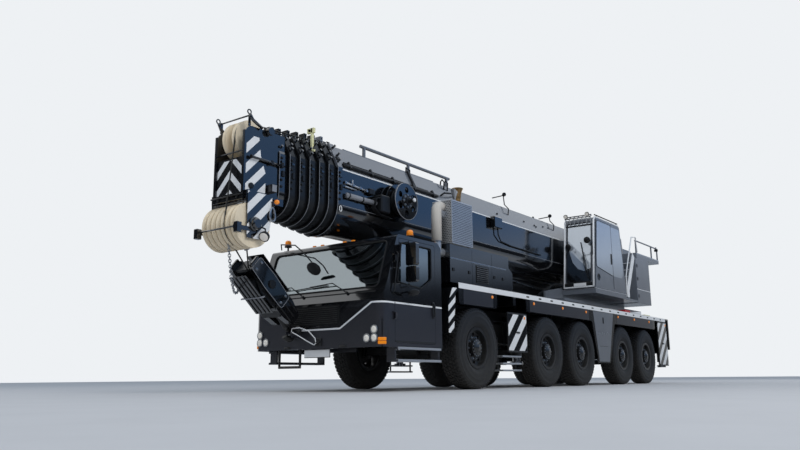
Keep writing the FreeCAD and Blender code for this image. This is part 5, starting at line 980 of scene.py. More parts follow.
for y_low, y_high in ((-1.26, -0.05), (0.05, 0.90)):
    cover.box((4.42, y_low, 2.388), (5.55, y_high, 2.398), 0.004, deck_paint)
ROOF_BAR = block((-0.30, -0.010, -0.008), (0.30, 0.012, 0.010), 0.004)
cover.copies(ROOF_BAR, LINE, black_enamel, at(5.95, -0.25, 2.392), Count=14, Step=(0, 0.036, 0))
cover.done("carrier")

# %% Deck edge, lamps, steps and striped sheets
deck = Workpiece("deck_trim")
RAIL_LOW, RAIL_HIGH = 1.650, 1.744
PANEL_IN, PANEL_OUT = HALF_WIDTH - 0.0005, HALF_WIDTH + 0.0035
SLOT = block((-0.055, -0.001, -0.014), (0.055, 0.0012, 0.014), 0.0008)
SIDE_LAMP = lathe([(0, 0.0), (0.030, 0.0), (0.030, 0.006), (0.020, 0.016), (0, 0.019)], 18)
for sign in (1, -1):
    deck.box((-4.485, HALF_WIDTH - 0.004, RAIL_LOW), (6.145, HALF_WIDTH + 0.006, RAIL_HIGH), 0.003, white_enamel,
             sign=sign)
    deck.box((-4.485, 1.250, 1.7385), (4.17, 1.378, RAIL_HIGH), 0.002, aluminium, sign=sign)
    # the lashing slots are near-black: painted shade inside them
    deck.copies(SLOT, LINE, hole_shade_and_joint_black, at(-4.10, 1.381 * sign, 1.697), Count=16, Step=(0.52, 0, 0))
    for x in (-3.15, -2.05, -0.95, 0.95, 2.15, 3.45, 5.05):
        deck.add(SIDE_LAMP, amber_lens, side_place(x, 1.376, 1.585, sign), smooth=True)
    for x0, x1, z0, z1 in ((5.02, 6.00, 1.40, 1.645), (-3.45, -0.86, 1.42, 1.645), (0.80, 3.62, 1.42, 1.645)):
        deck.box((x0, PANEL_IN, z0), (x1, PANEL_IN + 0.003, z1), 0.002, charcoal_enamel, sign=sign)
    post = [(-0.640, 1.642), (0.560, 1.642), (0.325, 0.520), (-0.255, 0.520)]
    deck.add(upright(rounded(post, 0.03), PANEL_IN, PANEL_OUT, sign), grey_enamel)
    # near-black box in the post: painted shade of its recess
    recess_out = PANEL_OUT + (0.002 if sign > 0 else 0)
    deck.box((-0.035, PANEL_IN, 1.38), (0.035, recess_out, 1.52), 0.003, hole_shade_and_joint_black, sign=sign)
    deck.box((-0.200, 1.378, 0.86), (0.270, 1.381, 0.866), 0.001, hole_shade_and_joint_black, sign=sign)
    # ladder steps between axles 1 and 3
    for z in (0.30, 0.42, 0.55):
        deck.box((3.98, 1.16, z), (4.68, 1.345, z + 0.030), 0.006, aluminium, sign=sign)
    for x in (4.00, 4.66):
        deck.box((x - 0.012, 1.20, 0.30), (x + 0.012, 1.230, 0.90), 0.004, chassis_paint, sign=sign)
    # striped sheet behind the cab
    corners = [(6.290, 0.905), (6.440, 0.905), (6.440, 1.388), (6.312, 1.648), (6.070, 1.648), (6.070, 1.628),
               (6.218, 1.573)]
    striped_side(deck, corners, 1.358, 0.150, 38, sign, thickness=0.004)
striped(deck, [(-1.30, 1.42), (1.30, 1.42), (1.30, 1.56), (-1.30, 1.56)], (-4.765, 0, 0), (0, -1, 0), (0, 0, 1), 0.20,
        45, thickness=0.004)
for y in (-1.18, 1.18):
    deck.box((-4.785, y - 0.13, 1.15), (-4.760, y + 0.13, 1.30), 0.006, plastic)
    for dy, glass in ((-0.075, amber_lens), (0.0, red_lens), (0.075, red_lens)):
        deck.box((-4.792, y + dy - 0.034, 1.165), (-4.780, y + dy + 0.034, 1.285), 0.005, glass)
deck.box((-4.772, -0.26, 1.18), (-4.764, 0.26, 1.29), 0.002, white_enamel)
for x0, x1 in ((-4.62, -3.85), (0.95, 3.90)):
    deck.box((x0, -1.235, 1.7405), (x1, 1.235, 1.7435), 0.001, deck_paint)
deck.add(lathe([(0.03, 0), (0.17, 0), (0.19, 0.02), (0.19, 0.05), (0.17, 0.07), (0.03, 0.07)], 32), white_enamel,
         at(-2.55, 1.20, 1.742))
deck.box((-3.70, 1.08, 1.742), (-3.30, 1.24, 1.80), 0.008, yellow_enamel)
deck.box((-2.15, 1.06, 1.742), (-1.78, 1.26, 1.83), 0.012, red_enamel)
deck.done("carrier")

# the outrigger end covers move with their beams
COVER_HALF = 0.350
for end, centre, low, high in (("front", 4.150, 0.640, 1.360), ("rear", -4.180, 0.460, 1.640)):
    for side, sign in SIDES:
        stripes = Workpiece(f"cover_stripes_{end}_{side}")
        outline = [(-COVER_HALF, low + 0.03), (COVER_HALF, low + 0.03), (COVER_HALF, high - 0.03),
                   (-COVER_HALF, high - 0.03)]
        striped(stripes, outline, (centre, 1.3752 * sign, 0), (-sign, 0, 0), (0, 0, 1), 0.30, 45 * sign,
                thickness=0.003)
        stripes.box((centre - 0.06, 1.376, (low + high) / 2 - 0.015), (centre + 0.06, 1.396, (low + high) / 2 + 0.015),
                    0.005, plastic, sign=sign)
        spot = side_place(centre - 0.28, 1.378, high - 0.08, sign)
        stripes.add(lathe([(0, 0.0), (0.028, 0.0), (0.028, 0.006), (0, 0.014)], 18), amber_lens, spot, smooth=True)
        stripes.done(f"beam_{end}_{side}")

# %% [markdown]
# ## Superstructure
# The slewing ring shows its bolts, the side lockers their joints and latches, and the stair its bright treads and
# handrails. The winch carries its rope: flat turns side by side, from one ring form repeated along the drum.

# %% Slewing ring, lockers, stair and rails
upper = Workpiece("superstructure_trim")
upper.copies(BOLT, RING, steel_bright, at(0, 0, 1.849), Count=60, Radius=0.772)
LOCKER_Y, SKIN = 1.300, 0.005
for sign in (1, -1):
    for z0, z1 in ((2.075, 2.42), (2.435, 3.235)):
        upper.box((-3.685, LOCKER_Y, z0), (-2.665, LOCKER_Y + SKIN, z1), 0.003, grey_enamel, sign=sign)
    upper.box((-3.69, LOCKER_Y, 2.42), (-2.66, LOCKER_Y + 0.002, 2.435), 0.0005, white_enamel, sign=sign)
    latch_out = LOCKER_Y + SKIN + (0.012 if sign > 0 else 0)
    for z in (2.70, 3.05, 2.25):
        upper.box((-2.77, LOCKER_Y, z - 0.045), (-2.73, latch_out, z + 0.045), 0.005, plastic, sign=sign)
    upper.box((-4.60, 1.296, 3.375), (-2.80, 1.304, 3.408), 0.003, aluminium, sign=sign)
STAIR_RIB = block((-0.006, -0.16, 0), (0.006, 0.16, 0.005), 0.002)
for i in range(5):
    x, z = -1.930 - 0.110 * i, 2.300 + 0.190 * i
    upper.box((x - 0.152, 0.925, z + 0.018), (x + 0.004, 1.276, z + 0.030), 0.004, aluminium)
    upper.copies(STAIR_RIB, LINE, aluminium, at(x - 0.135, 1.10, z + 0.030), Count=6, Step=(0.025, 0, 0))
STRINGER = [(-2.08, 2.16), (-1.93, 2.16), (-1.93, 2.41), (-2.48, 3.36), (-2.62, 3.25), (-2.08, 2.32)]
upper.add(upright(STRINGER, 1.3005, 1.3045), white_enamel)
HANDRAIL = [(-1.86, 2.16), (-1.90, 2.70), (-2.10, 3.10), (-2.48, 3.78), (-2.78, 3.82), (-2.84, 3.42)]
for y in (1.305, 0.905):
    upper.bar([(x, y, z) for x, z in HANDRAIL], 0.017, 10, white_enamel)
upper.box((-1.63, 1.330, 2.176), (0.30, 1.380, 2.192), 0.004, aluminium)
upper.box((0.255, 0.50, 2.176), (0.305, 1.375, 2.192), 0.004, aluminium)
upper.box((-1.60, 0.52, 2.1795), (0.24, 1.31, 2.186), 0.002, deck_paint)

# panel joints and latches on the right-hand side, hoses below the boom and their valve blocks
for x in (-2.30, -1.55, -0.80, -0.05, 0.62):
    upper.box((x - 0.002, -1.3045, 1.96), (x + 0.002, -1.2995, 2.70), 0.0005, hole_shade_and_joint_black)
    upper.box((x - 0.10, -1.306, 2.30), (x - 0.04, -1.299, 2.37), 0.003, plastic)
for k in range(5):
    y, sag = 0.30 + 0.045 * k, 0.12 + 0.02 * k
    points = [(1.14, y, 1.99), (1.02, y * 1.04, 2.03 + sag * 0.4), (0.80, y * 1.1, 2.07 + sag),
              (0.45, y * 1.15, 2.12 + sag), (0.10, y * 1.15, 2.16 + sag * 0.6), (-0.35, y * 1.1, 2.06),
              (-0.70, y, 1.95)]
    upper.bar(points, 0.015, 8, black_rubber)
for y in (-0.36, -0.28, 0.28, 0.36):
    points = [(-0.90, y, 1.94), (-1.10, y, 2.30), (-1.60, y * 1.05, 2.52), (-2.20, y * 1.1, 2.60),
              (-2.80, y * 1.15, 2.54), (-3.40, y * 1.1, 2.42), (-3.64, y, 2.05), (-3.66, y, 1.94)]
    upper.bar(points, 0.016, 8, black_rubber)
for x in (-0.42, -0.16, 0.10):
    upper.box((x - 0.10, 0.31, 1.914), (x + 0.10, 0.46, 2.03), 0.012, cast_iron)

# motor of the winch on the left cheek, and lamps at the tail
upper.add(lathe([(0, 0), (0.16, 0), (0.16, 0.04), (0.11, 0.06), (0.11, 0.24), (0.095, 0.26), (0, 0.26)], 28), cast_iron,
          axis_place((-4.15, 0.545, 3.40 - 0.17), (0, 1, 0)))
for sign in (1, -1):
    upper.box((-4.63, 1.13 * sign - 0.05, 3.315), (-4.598, 1.13 * sign + 0.05, 3.385), 0.006, red_lens)
upper.bar([(-4.50, 1.28, 3.73), (-4.50, 1.28, 3.78)], 0.015, 10, plastic, smooth=False)
upper.box((-4.56, 1.22, 3.66), (-4.52, 1.32, 3.73), 0.010, plastic)
upper.box((-4.565, 1.23, 3.67), (-4.558, 1.31, 3.72), 0.003, clear_lens)
upper.done("superstructure")

# %% Winch rope
ROPE = 0.0105
WINCH_X, WINCH_Z, DRUM_RADIUS, DRUM_HALF, TURNS = -4.15, 3.40, 0.190, 0.430, 38


def wound(radius, bar, steps=6):
    """One turn of rope or hose round an axis."""
    angles = [math.tau * k / steps for k in range(steps)]
    return lathe([(radius + bar * math.cos(a), bar * math.sin(a)) for a in angles], 40)


rope = Workpiece("winch_rope")
for radius, count in ((DRUM_RADIUS + ROPE, TURNS), (DRUM_RADIUS + 2.75 * ROPE, TURNS - 1)):
    first = axis_place((WINCH_X, -(count - 1) * ROPE, WINCH_Z), (0, 1, 0))
    rope.copies(wound(radius, ROPE), LINE, wire_rope, first, smooth=True, Count=count, Step=(0, 0, 2 * ROPE))
for sign in (1, -1):
    flange = side_place(WINCH_X, DRUM_HALF, WINCH_Z, sign)
    rope.copies(BOLT, RING, steel_bright, flange, Count=12, Radius=0.235)
rope.done("winch")

# %% [markdown]
# ## Crane cab
# The cab on the superstructure is mostly glass: one large pane in front, a glazed sliding door and a quarter pane
# behind it. Bright corner frames, a roof guard over the pane, the wiper and the mirrors make its character.

# %% Crane cab
BOOTH_FOOT, BOOTH_HEAD = Vector((0.325, 0, 2.20)), Vector((0.075, 0, 3.90))
BOOTH_SLOPE = (BOOTH_HEAD.x - BOOTH_FOOT.x) / (BOOTH_HEAD.z - BOOTH_FOOT.z)
BOOTH_IN, BOOTH_OUT = 0.600, 1.345


def on_booth(y, z, proud=0.0):
    """Point on the sloping front of the crane cab."""
    normal = Vector((1, 0, -BOOTH_SLOPE)).normalized()
    return Vector((BOOTH_FOOT.x + (z - BOOTH_FOOT.z) * BOOTH_SLOPE, y, z)) + normal * proud


booth = Workpiece("crane_cab_trim")
seal = [on_booth(a, b, 0.002) for a, b in rounded([(0.67, 2.34), (1.275, 2.34), (1.275, 3.78), (0.67, 3.78)], 0.05)]
booth.bar(seal, 0.011, 8, black_rubber, closed=True)
for y in (BOOTH_IN + 0.012, BOOTH_OUT - 0.012):
    edge = [on_booth(y, z, 0.004) for z in (2.22, 3.0, 3.83)] + [Vector((0.02, y, 3.898)), Vector((-0.12, y, 3.905)),
                                                                 Vector((-1.42, y, 3.905)), Vector((-1.50, y, 3.86))]
    booth.bar(edge, 0.022, 8, white_enamel)
booth.bar([on_booth(y, 2.225, 0.004) for y in (BOOTH_IN + 0.012, BOOTH_OUT - 0.012)], 0.020, 8, white_enamel,
          smooth=False)
booth.box((0.24, 0.62, 2.215), (0.332, 1.325, 2.33), 0.010, plastic)
plate_x = on_booth(1.16, 2.315, 0.022).x
booth.box((plate_x - 0.004, 0.86, 2.245), (plate_x + 0.018, 1.16, 2.315), 0.002, white_enamel)
# black sheet on the lower front pane, curved upwards at its inner end: painted shade of the footwell seen through the
# glass
FOOTWELL = [(0.675, 2.345), (1.270, 2.345), (1.270, 2.66), (1.10, 2.60), (0.95, 2.66), (0.82, 2.82), (0.74, 3.05),
            (0.69, 3.35), (0.675, 3.40)]
booth.add(plate(*[[on_booth(y, z, proud) for y, z in FOOTWELL] for proud in (0.001, 0.0025)]), black_enamel)
# wiper, roof guard, roof window, air conditioner and rail
booth.bar([on_booth(1.21, 2.42, 0.03), on_booth(1.10, 2.75, 0.035), on_booth(1.08, 2.95, 0.026)], 0.008, 8, plastic,
          smooth=False)
booth.bar([on_booth(1.15, 2.62, 0.014), on_booth(1.02, 3.30, 0.014)], 0.009, 6, black_rubber, smooth=False)
booth.bar([on_booth(1.23, 2.38, 0.03), on_booth(1.16, 2.80, 0.04), on_booth(1.09, 3.06, 0.03)], 0.007, 8, plastic,
          smooth=False)
GUARD = [(0.06, 3.93), (0.12, 3.95), (0.16, 3.90), (0.115, 3.72)]
for k in range(7):
    y = 0.66 + 0.62 * k / 6
    booth.bar([(x, y, z) for x, z in GUARD], 0.009, 6, aluminium)
for x, z in GUARD[1:]:
    booth.bar([(x, 0.64, z), (x, 1.30, z)], 0.012, 8, plastic, smooth=False)
booth.box((-0.55, 0.72, 3.90), (-0.05, 1.22, 3.925), 0.010, tinted_glass)
booth.box((-1.30, 0.75, 3.90), (-0.75, 1.20, 3.955), 0.02, grey_enamel)
for x in (-1.35, -0.10):
    booth.bar([(x, 1.315, 3.895), (x, 1.335, 3.955)], 0.012, 8, plastic, smooth=False)
booth.bar([(-1.42, 1.335, 3.955), (0.02, 1.335, 3.955)], 0.014, 8, plastic, smooth=False)
# mirrors and work lamps
booth.bar([on_booth(1.32, 2.95, 0.01), on_booth(1.36, 3.15, 0.12), on_booth(1.30, 3.32, 0.15)], 0.008, 8, plastic,
          smooth=False)
MIRROR_BACK = lathe([(0, -0.02), (0.06, -0.016), (0.078, 0.0), (0.07, 0.012), (0, 0.015)], 24)
for spot, facing in ((on_booth(1.22, 3.30, 0.12), (1, 0.1, -0.2)), (on_booth(0.72, 3.20, 0.05), (1, -0.2, -0.2))):
    booth.add(MIRROR_BACK, plastic, axis_place(spot, facing), smooth=True)
booth.bar([on_booth(0.64, 2.95, 0.0), on_booth(0.70, 3.18, 0.05)], 0.008, 8, plastic, smooth=False)
ROOF_LAMP = lathe([(0, -0.05), (0.035, -0.045), (0.05, 0.0), (0.05, 0.012), (0.044, 0.016), (0, 0.016)], 20)
ROOF_LENS = lathe([(0, 0.018), (0.04, 0.016), (0.04, 0.010), (0, 0.010)], 20)
for y in (0.70, 1.24):
    lamp_place = axis_place((0.235, y, 3.95), (1, 0, -0.5))
    booth.add(ROOF_LAMP, plastic, lamp_place, smooth=True)
    booth.add(ROOF_LENS, clear_lens, lamp_place)
    booth.bar([(0.06, y, 3.90), (0.21, y, 3.94)], 0.008, 8, plastic, smooth=False)
# quarter pane on the side
QUARTER = [(-0.875, 2.575), (-0.875, 3.800), (-1.480, 3.800), (-1.600, 2.950), (-1.560, 2.640), (-1.480, 2.575)]
booth.add(upright(rounded(QUARTER, 0.05), BOOTH_OUT + 0.0003, BOOTH_OUT + 0.0025), booth_pane)
booth.done("crane_cab")

sliding = Workpiece("crane_cab_door_trim")
DOOR_FACE = BOOTH_OUT + 0.028
DOOR_WINDOW = rounded([(-0.835, 2.560), (0.180, 2.700), (0.165, 2.900), (0.020, 3.815), (-0.835, 3.815)], 0.060)
seal = [(x, DOOR_FACE + 0.001, z) for x, z in DOOR_WINDOW]
sliding.bar(seal, 0.008, 8, black_rubber, closed=True)
sliding.add(upright(DOOR_WINDOW, DOOR_FACE + 0.001, DOOR_FACE + 0.006), booth_pane)
sliding.box((-0.850, DOOR_FACE, 2.25), (-0.838, DOOR_FACE + 0.005, 3.84), 0.001, plastic)
sliding.box((-0.77, DOOR_FACE, 2.84), (-0.745, DOOR_FACE + 0.026, 3.10), 0.006, plastic)
handle = axis_place((0.07, DOOR_FACE, 2.46), (0, 1, 0))
sliding.add(lathe([(0, 0.002), (0.062, 0.002), (0.072, 0.008), (0.080, 0.004), (0.080, -0.001), (0, -0.001)], 28),
            plastic, handle, smooth=True)
sliding.done("crane_cab_door")

# %% [markdown]
# ## Boom
# Six sections slide in the base, each with a stiff collar at its front end. The collars carry locking lugs, pins,
# bolts and wear-pad adjusters, so one function dresses a collar and every section rides with its own.

# %% Boom outline and collars
BOOM_LOW, BELLY_RADIUS, TOP_HALF = 2.42, 0.44, 0.25
SECTION_SHRINK, COLLAR_PROUD, COLLAR_LENGTH = 0.024, 0.026, 0.110
SLOPE_OUT, SLOPE_TILT = Vector((0, 0.894, 0.447)), math.radians(63.4)


def belly_line(grow, steps=8):
    """Points (y, z) from the left shoulder down, round the belly and up to the right shoulder."""
    half, radius = BOOM_HALF + grow, BELLY_RADIUS + grow
    left = [(half, BOOM_SHOULDER)]
    for k in range(steps + 1):
        angle = math.pi / 2 * k / steps
        left.append((half - radius + radius * math.cos(angle), BOOM_LOW - grow + radius * (1 - math.sin(angle))))
    return left + [(-y, z) for y, z in reversed(left)]


def on_shoulder(x, share, sign, grow=0.0, proud=0.0):
    """Point on the bevelled shoulder, from its fold (share 0) to its top edge (share 1)."""
    y = BOOM_HALF + grow + (TOP_HALF - BOOM_HALF) * share
    z = BOOM_SHOULDER + (BOOM_TOP - BOOM_SHOULDER) * share + grow * share
    return Vector((x, y * sign, z)) + Vector((0, SLOPE_OUT.y * sign, SLOPE_OUT.z)) * proud


PIN = lathe([(0, -0.01), (0.020, -0.01), (0.020, 0.030), (0.015, 0.034), (0.015, 0.058), (0.021, 0.060), (0.021, 0.068),
             (0, 0.070)], 12)
BIG_BOLT = lathe([(0, -0.002), (0.024, -0.002), (0.024, 0.006), (0.018, 0.007), (0.018, 0.020), (0.013, 0.024),
                  (0, 0.024)], 6)


def shoulder_place(x, share, sign, grow=0.0, standing=False):
    """Matrix that lays a form flat on the bevelled shoulder, or stands its Z axis on it."""
    spot, slope = on_shoulder(x, share, sign, grow), (0, SLOPE_OUT.y * sign, SLOPE_OUT.z)
    return axis_place(spot, slope) if standing else at(*spot) @ Matrix.Rotation(-SLOPE_TILT * sign, 4, "X")


def ellipse(middle, half_x, half_z, steps):
    """Points of an upright ring."""
    x, y, z = middle
    angles = [math.tau * k / steps for k in range(steps)]
    return [(x + half_x * math.sin(a), y, z + half_z * math.cos(a)) for a in angles]


def dress_collar(piece, number):
    """Painted highlight along the lower edge, then bolts, pins, adjusters and small fittings of one collar."""
    front, grow = SECTION_FRONTS[number], COLLAR_PROUD - SECTION_SHRINK * number
    half, top, middle = BOOM_HALF + grow, BOOM_TOP + grow, front - COLLAR_LENGTH / 2
    # thin silver bar round the collar's side and belly: a painted highlight on its edge
    piece.bar([(front - 0.002, y, z) for y, z in belly_line(grow)], 0.0045, 6, silver_enamel, smooth=False)
    for sign in (1, -1):
        for z in (2.93, 3.03, 3.22, 3.36):
            piece.add(BIG_BOLT, cast_iron, side_place(middle + 0.018, half, z, sign))
        low, high = half - 0.002, half + 0.022
        piece.box((middle - 0.038, low, 3.08), (middle + 0.010, high, 3.17), 0.006, cast_iron, sign=sign)
        piece.box((middle - 0.030, low, 3.28), (middle + 0.030, high, 3.32), 0.005, black_enamel, sign=sign)
        for share, shift in ((0.22, 0.02), (0.50, -0.02), (0.80, 0.02)):
            piece.add(PIN, black_enamel, shoulder_place(middle + shift, share, sign, grow, standing=True))
        piece.box((middle - 0.035, -0.030, -0.004), (middle + 0.035, 0.030, 0.026), 0.006, cast_iron,
                  shoulder_place(0, 0.36, sign, grow))
        for y, lift in ((0.12 * sign, 0.055), (0.20 * sign, 0.035)):
            piece.bar([(middle, y, top - 0.004), (middle, y, top + lift)], 0.013, 8, black_enamel, smooth=False)
            piece.bar([(middle - 0.030, y, top + lift), (middle + 0.030, y, top + lift)], 0.011, 8, cast_iron,
                      smooth=False)
        angle = math.radians(62)
        y = half - BELLY_RADIUS - grow + (BELLY_RADIUS + grow) * math.cos(angle)
        z = BOOM_LOW - grow + (BELLY_RADIUS + grow) * (1 - math.sin(angle))
        belly = axis_place((middle, y * sign, z), (0, math.cos(angle) * sign, -math.sin(angle)))
        piece.box((-0.032, -0.045, -0.004), (0.032, 0.045, 0.016), 0.005, cast_iron, belly)


# %% Fittings on the telescopic sections
for number in range(1, 7):
    section = Workpiece(f"section_{number}_trim")
    dress_collar(section, number)
    if number == 2:
        x = SECTION_FRONTS[number] + 0.002
        for y0, y1, z0, z1 in ((0.245, 0.285, 3.640, 4.020), (0.170, 0.315, 3.940, 4.020),
                               (0.225, 0.325, 3.630, 3.665)):
            section.box((x - 0.020, y0, z0), (x + 0.022, y1, z1), 0.004, yellow_enamel)
        # near-black round form: painted shade of the bracket's bolt hole
        section.add(BIG_BOLT, hole_shade_and_joint_black, axis_place((x + 0.020, 0.225, 3.98), (1, 0, 0)))
    section.done(f"boom_section_{number}")

# %% [markdown]
# The base section has the long lines that the eye follows: a white tape under the silver shoulder, a cable duct
# above it and a painted highlight along the belly, drawn as a thin silver strip. Pipes, the reel's hub and hose, and
# the lamps on top are small solids.

# %% Fittings on the base section
base = Workpiece("boom_base_trim")
dress_collar(base, 0)
BASE_REAR, BASE_FRONT = -3.12, 8.03
for sign in (1, -1):
    # white tape under the shoulder, and a thin silver strip at the belly's edge that is a painted highlight
    for z_low, z_high, material in ((3.424, 3.448, white_enamel), (2.846, 2.854, silver_enamel)):
        base.box((BASE_REAR, BOOM_HALF - 0.001, z_low), (BASE_FRONT, BOOM_HALF + 0.003, z_high), 0.001, material,
                 sign=sign)
    duct = [on_shoulder(x, 0.12, sign, proud=0.030) for x in (5.35, 7.90, 8.0)]
    base.bar(duct, 0.030, 10, plastic)
    base.bar([on_shoulder(x, 0.27, sign, proud=0.014) for x in (5.6, 7.95)], 0.014, 8, plastic)
    for x in (5.5, 6.1, 6.7, 7.3, 7.85):
        base.box((-0.02, -0.085, -0.002), (0.02, 0.050, 0.062), 0.006, cast_iron, shoulder_place(x, 0.12, sign))
    for x in (-2.4, 1.2, 3.0):
        base.add(BIG_BOLT, cast_iron, shoulder_place(x, 0.35, sign, standing=True))
    # long handle and hoops on the shoulder, and the strap over the top edge
    bar = [on_shoulder(5.15, 0.30, sign), on_shoulder(5.10, 0.36, sign, proud=0.07),
           on_shoulder(4.72, 0.52, sign, proud=0.07), on_shoulder(4.66, 0.50, sign)]
    base.bar(bar, 0.018, 8, plastic)
    for x in (4.90, 4.78):
        hoop = [(x, (TOP_HALF - 0.03) * sign, BOOM_TOP - 0.005), (x, (TOP_HALF - 0.02) * sign, BOOM_TOP + 0.075),
                (x + 0.01, (TOP_HALF + 0.02) * sign, BOOM_TOP + 0.105), (x, (TOP_HALF + 0.06) * sign, BOOM_TOP + 0.05),
                tuple(on_shoulder(x, 0.75, sign))]
        base.bar(hoop, 0.014, 8, plastic)
    base.box((-0.025, -0.19, -0.002), (0.025, 0.19, 0.040), 0.008, plastic, shoulder_place(6.02, 0.62, sign))
    loop = [(5.94, TOP_HALF * sign, BOOM_TOP), (5.94, TOP_HALF * sign, BOOM_TOP + 0.07),
            (6.06, TOP_HALF * sign, BOOM_TOP + 0.09), (6.06, TOP_HALF * sign, BOOM_TOP)]
    base.bar(loop, 0.012, 8, plastic)
    # tie-down ring on the collar
    base.bar(ellipse((8.09, 0.486 * sign, 2.78), 0.026, 0.045, 16), 0.0075, 8, white_enamel, closed=True)
    base.box((8.075, 0.474, 2.815), (8.105, 0.492, 2.84), 0.004, cast_iron, sign=sign)

# valve, pressure pipes and accumulator in front of the reel
base.bar([(7.98, 0.478, 3.225), (7.62, 0.478, 3.20), (7.44, 0.478, 3.185)], 0.015, 10, aluminium)
base.bar([(7.98, 0.478, 3.16), (7.70, 0.478, 3.15)], 0.011, 8, aluminium)
base.bar([(7.80, 0.478, 3.20), (7.80, 0.478, 3.30)], 0.012, 8, aluminium)
for x, z in ((7.98, 3.22), (7.80, 3.21), (7.62, 3.20), (7.46, 3.185)):
    base.box((x - 0.024, 0.449, z - 0.024), (x + 0.024, 0.505, z + 0.024), 0.006, steel_bright)
base.box((7.28, 0.449, 3.14), (7.42, 0.52, 3.24), 0.010, cast_iron)
base.bar([(7.97, 0.50, 3.015), (7.25, 0.50, 3.015)], 0.043, 18, silver_enamel)
for x in (7.93, 7.60, 7.30):
    base.add(lathe([(0.042, -0.012), (0.049, -0.012), (0.049, 0.012), (0.042, 0.012)], 18), plastic,
             axis_place((x, 0.50, 3.015), (1, 0, 0)))
    base.box((x - 0.02, 0.449, 2.98), (x + 0.02, 0.47, 3.05), 0.004, cast_iron)
base.box((6.99, 0.449, 2.86), (7.23, 0.62, 3.16), 0.020, plastic)
for k in range(4):
    base.bar([(7.23, 0.50 + 0.03 * k, 3.10), (7.32, 0.50 + 0.03 * k, 3.08), (7.33, 0.49 + 0.02 * k, 2.93),
              (7.20, 0.50 + 0.02 * k, 2.83), (6.95, 0.50 + 0.02 * k, 2.82)], 0.011, 8, black_rubber)

# the cable reel: hose wound between the discs, a bolted hub and the axle's light end
REEL_X, REEL_Z, REEL_OUT = 6.65, 3.13, 0.700
inside = side_place(REEL_X, 0.533, REEL_Z, 1)
base.copies(wound(0.215, 0.016), LINE, black_rubber, inside, smooth=True, Count=5, Step=(0, 0, 0.033))
face = side_place(REEL_X, REEL_OUT, REEL_Z, 1)
base.add(lathe([(0, 0.050), (0.060, 0.050), (0.066, 0.044), (0.068, 0.020), (0.125, 0.016), (0.130, 0.010),
                (0.130, -0.001), (0, -0.001)], 36), cast_iron, face)
base.copies(BIG_BOLT, RING, steel_bright, face @ at(0, 0, 0.014), Count=8, Radius=0.100)
base.add(lathe([(0, 0.150), (0.034, 0.150), (0.040, 0.144), (0.040, 0.048), (0, 0.048)], 20), plastic, face)
base.add(lathe([(0, 0.176), (0.028, 0.176), (0.033, 0.170), (0.033, 0.150), (0, 0.150)], 20), white_enamel, face)
base.add(lathe([(0.312, -0.002), (0.312, 0.004), (0.319, 0.005), (0.322, 0.0), (0.322, -0.010), (0.319, -0.010)], 60),
         silver_enamel, face, smooth=True)

# lamps on posts at the top edge, the box with its cable, bolts on the shoulder and two pipes along the belly
for x, z in ((2.456, 4.12), (0.194, 4.02)):
    base.bar([on_shoulder(x - 0.02, 0.55, 1), (x - 0.02, 0.36, 3.80), (x, 0.27, BOOM_TOP + 0.06), (x, 0.25, z)], 0.012,
             8, plastic)
    base.bar([(x, 0.25, z), (x + 0.02, -0.02, z - 0.02)], 0.012, 8, plastic)
    base.add(lathe([(0, -0.05), (0.03, -0.045), (0.045, 0.0), (0.045, 0.012), (0, 0.016)], 18), plastic,
             axis_place((x, 0.27, z + 0.02), (0.7, 0.6, -0.4)), smooth=True)
base.box((3.09, 0.449, 3.22), (3.42, 0.56, 3.46), 0.015, black_enamel)
base.bar([(3.20, 0.50, 3.22), (3.19, 0.50, 3.10), (3.05, 0.478, 2.98), (2.60, 0.475, 2.94), (1.2, 0.470, 2.92)], 0.013,
         8, black_rubber)
for x, share in ((1.75, 0.45), (1.25, 0.42), (0.75, 0.55), (0.45, 0.60)):
    base.add(BIG_BOLT, black_enamel, shoulder_place(x, share, 1, standing=True))
for y in (-0.22, -0.16):
    base.bar([(-3.0, y, 2.456), (-1.5, y, 2.452), (1.8, y, 2.452)], 0.012, 8, steel_bright)

# rollers that carry the hoist rope along the boom's top
ROPE_TOP, ROPE_Y = 3.910, 0.10
ROLLER = lathe([(0, -0.16), (0.030, -0.16), (0.030, 0.16), (0, 0.16)], 16)
for x in (-2.98, 0.9, 4.3):
    base.add(ROLLER, cast_nylon, axis_place((x, 0, ROPE_TOP - 0.042), (0, 1, 0)))
    for y in (-0.175, 0.175):
        base.box((x - 0.03, y - 0.012, BOOM_TOP - 0.003), (x + 0.03, y + 0.012, ROPE_TOP + 0.005), 0.004, cast_iron)
base.done("boom_base")

# %% Fittings on the luffing cylinder
FOOT, EYE = Vector((-1.100, 0, 2.050)), Vector((2.900, 0, 2.315))
along = (EYE - FOOT).normalized()
barrel = Workpiece("luffing_trim")
gland = axis_place(FOOT + along * 3.40, along)
barrel.add(lathe([(0.131, 0), (0.152, 0.004), (0.152, 0.060), (0.131, 0.064)], 36), cast_iron, gland)
barrel.copies(BOLT, RING, steel_bright, gland @ at(0, 0, 0.060), Count=16, Radius=0.141)
for y in (0.150, 0.178):
    barrel.bar([FOOT + along * s + Vector((0, y, 0.02)) for s in (0.30, 0.36, 3.25, 3.36)], 0.011, 8, steel_bright)
for s in (0.6, 1.4, 2.2, 3.0):
    spot = FOOT + along * s
    barrel.box(spot + Vector((-0.02, 0.118, -0.02)), spot + Vector((0.02, 0.195, 0.055)), 0.005, plastic)
barrel.box(FOOT + along * 0.24 + Vector((-0.09, 0.10, -0.06)), FOOT + along * 0.24 + Vector((0.09, 0.20, 0.08)), 0.012,
           cast_iron)
barrel.done("luffing_barrel")

# %% [markdown]
# ## Boom head
# The head's front plate carries white chevrons and its sides slanted bands. One hoist rope runs over the upper
# sheave, down the middle of the plate and round a lower sheave to the hook block.

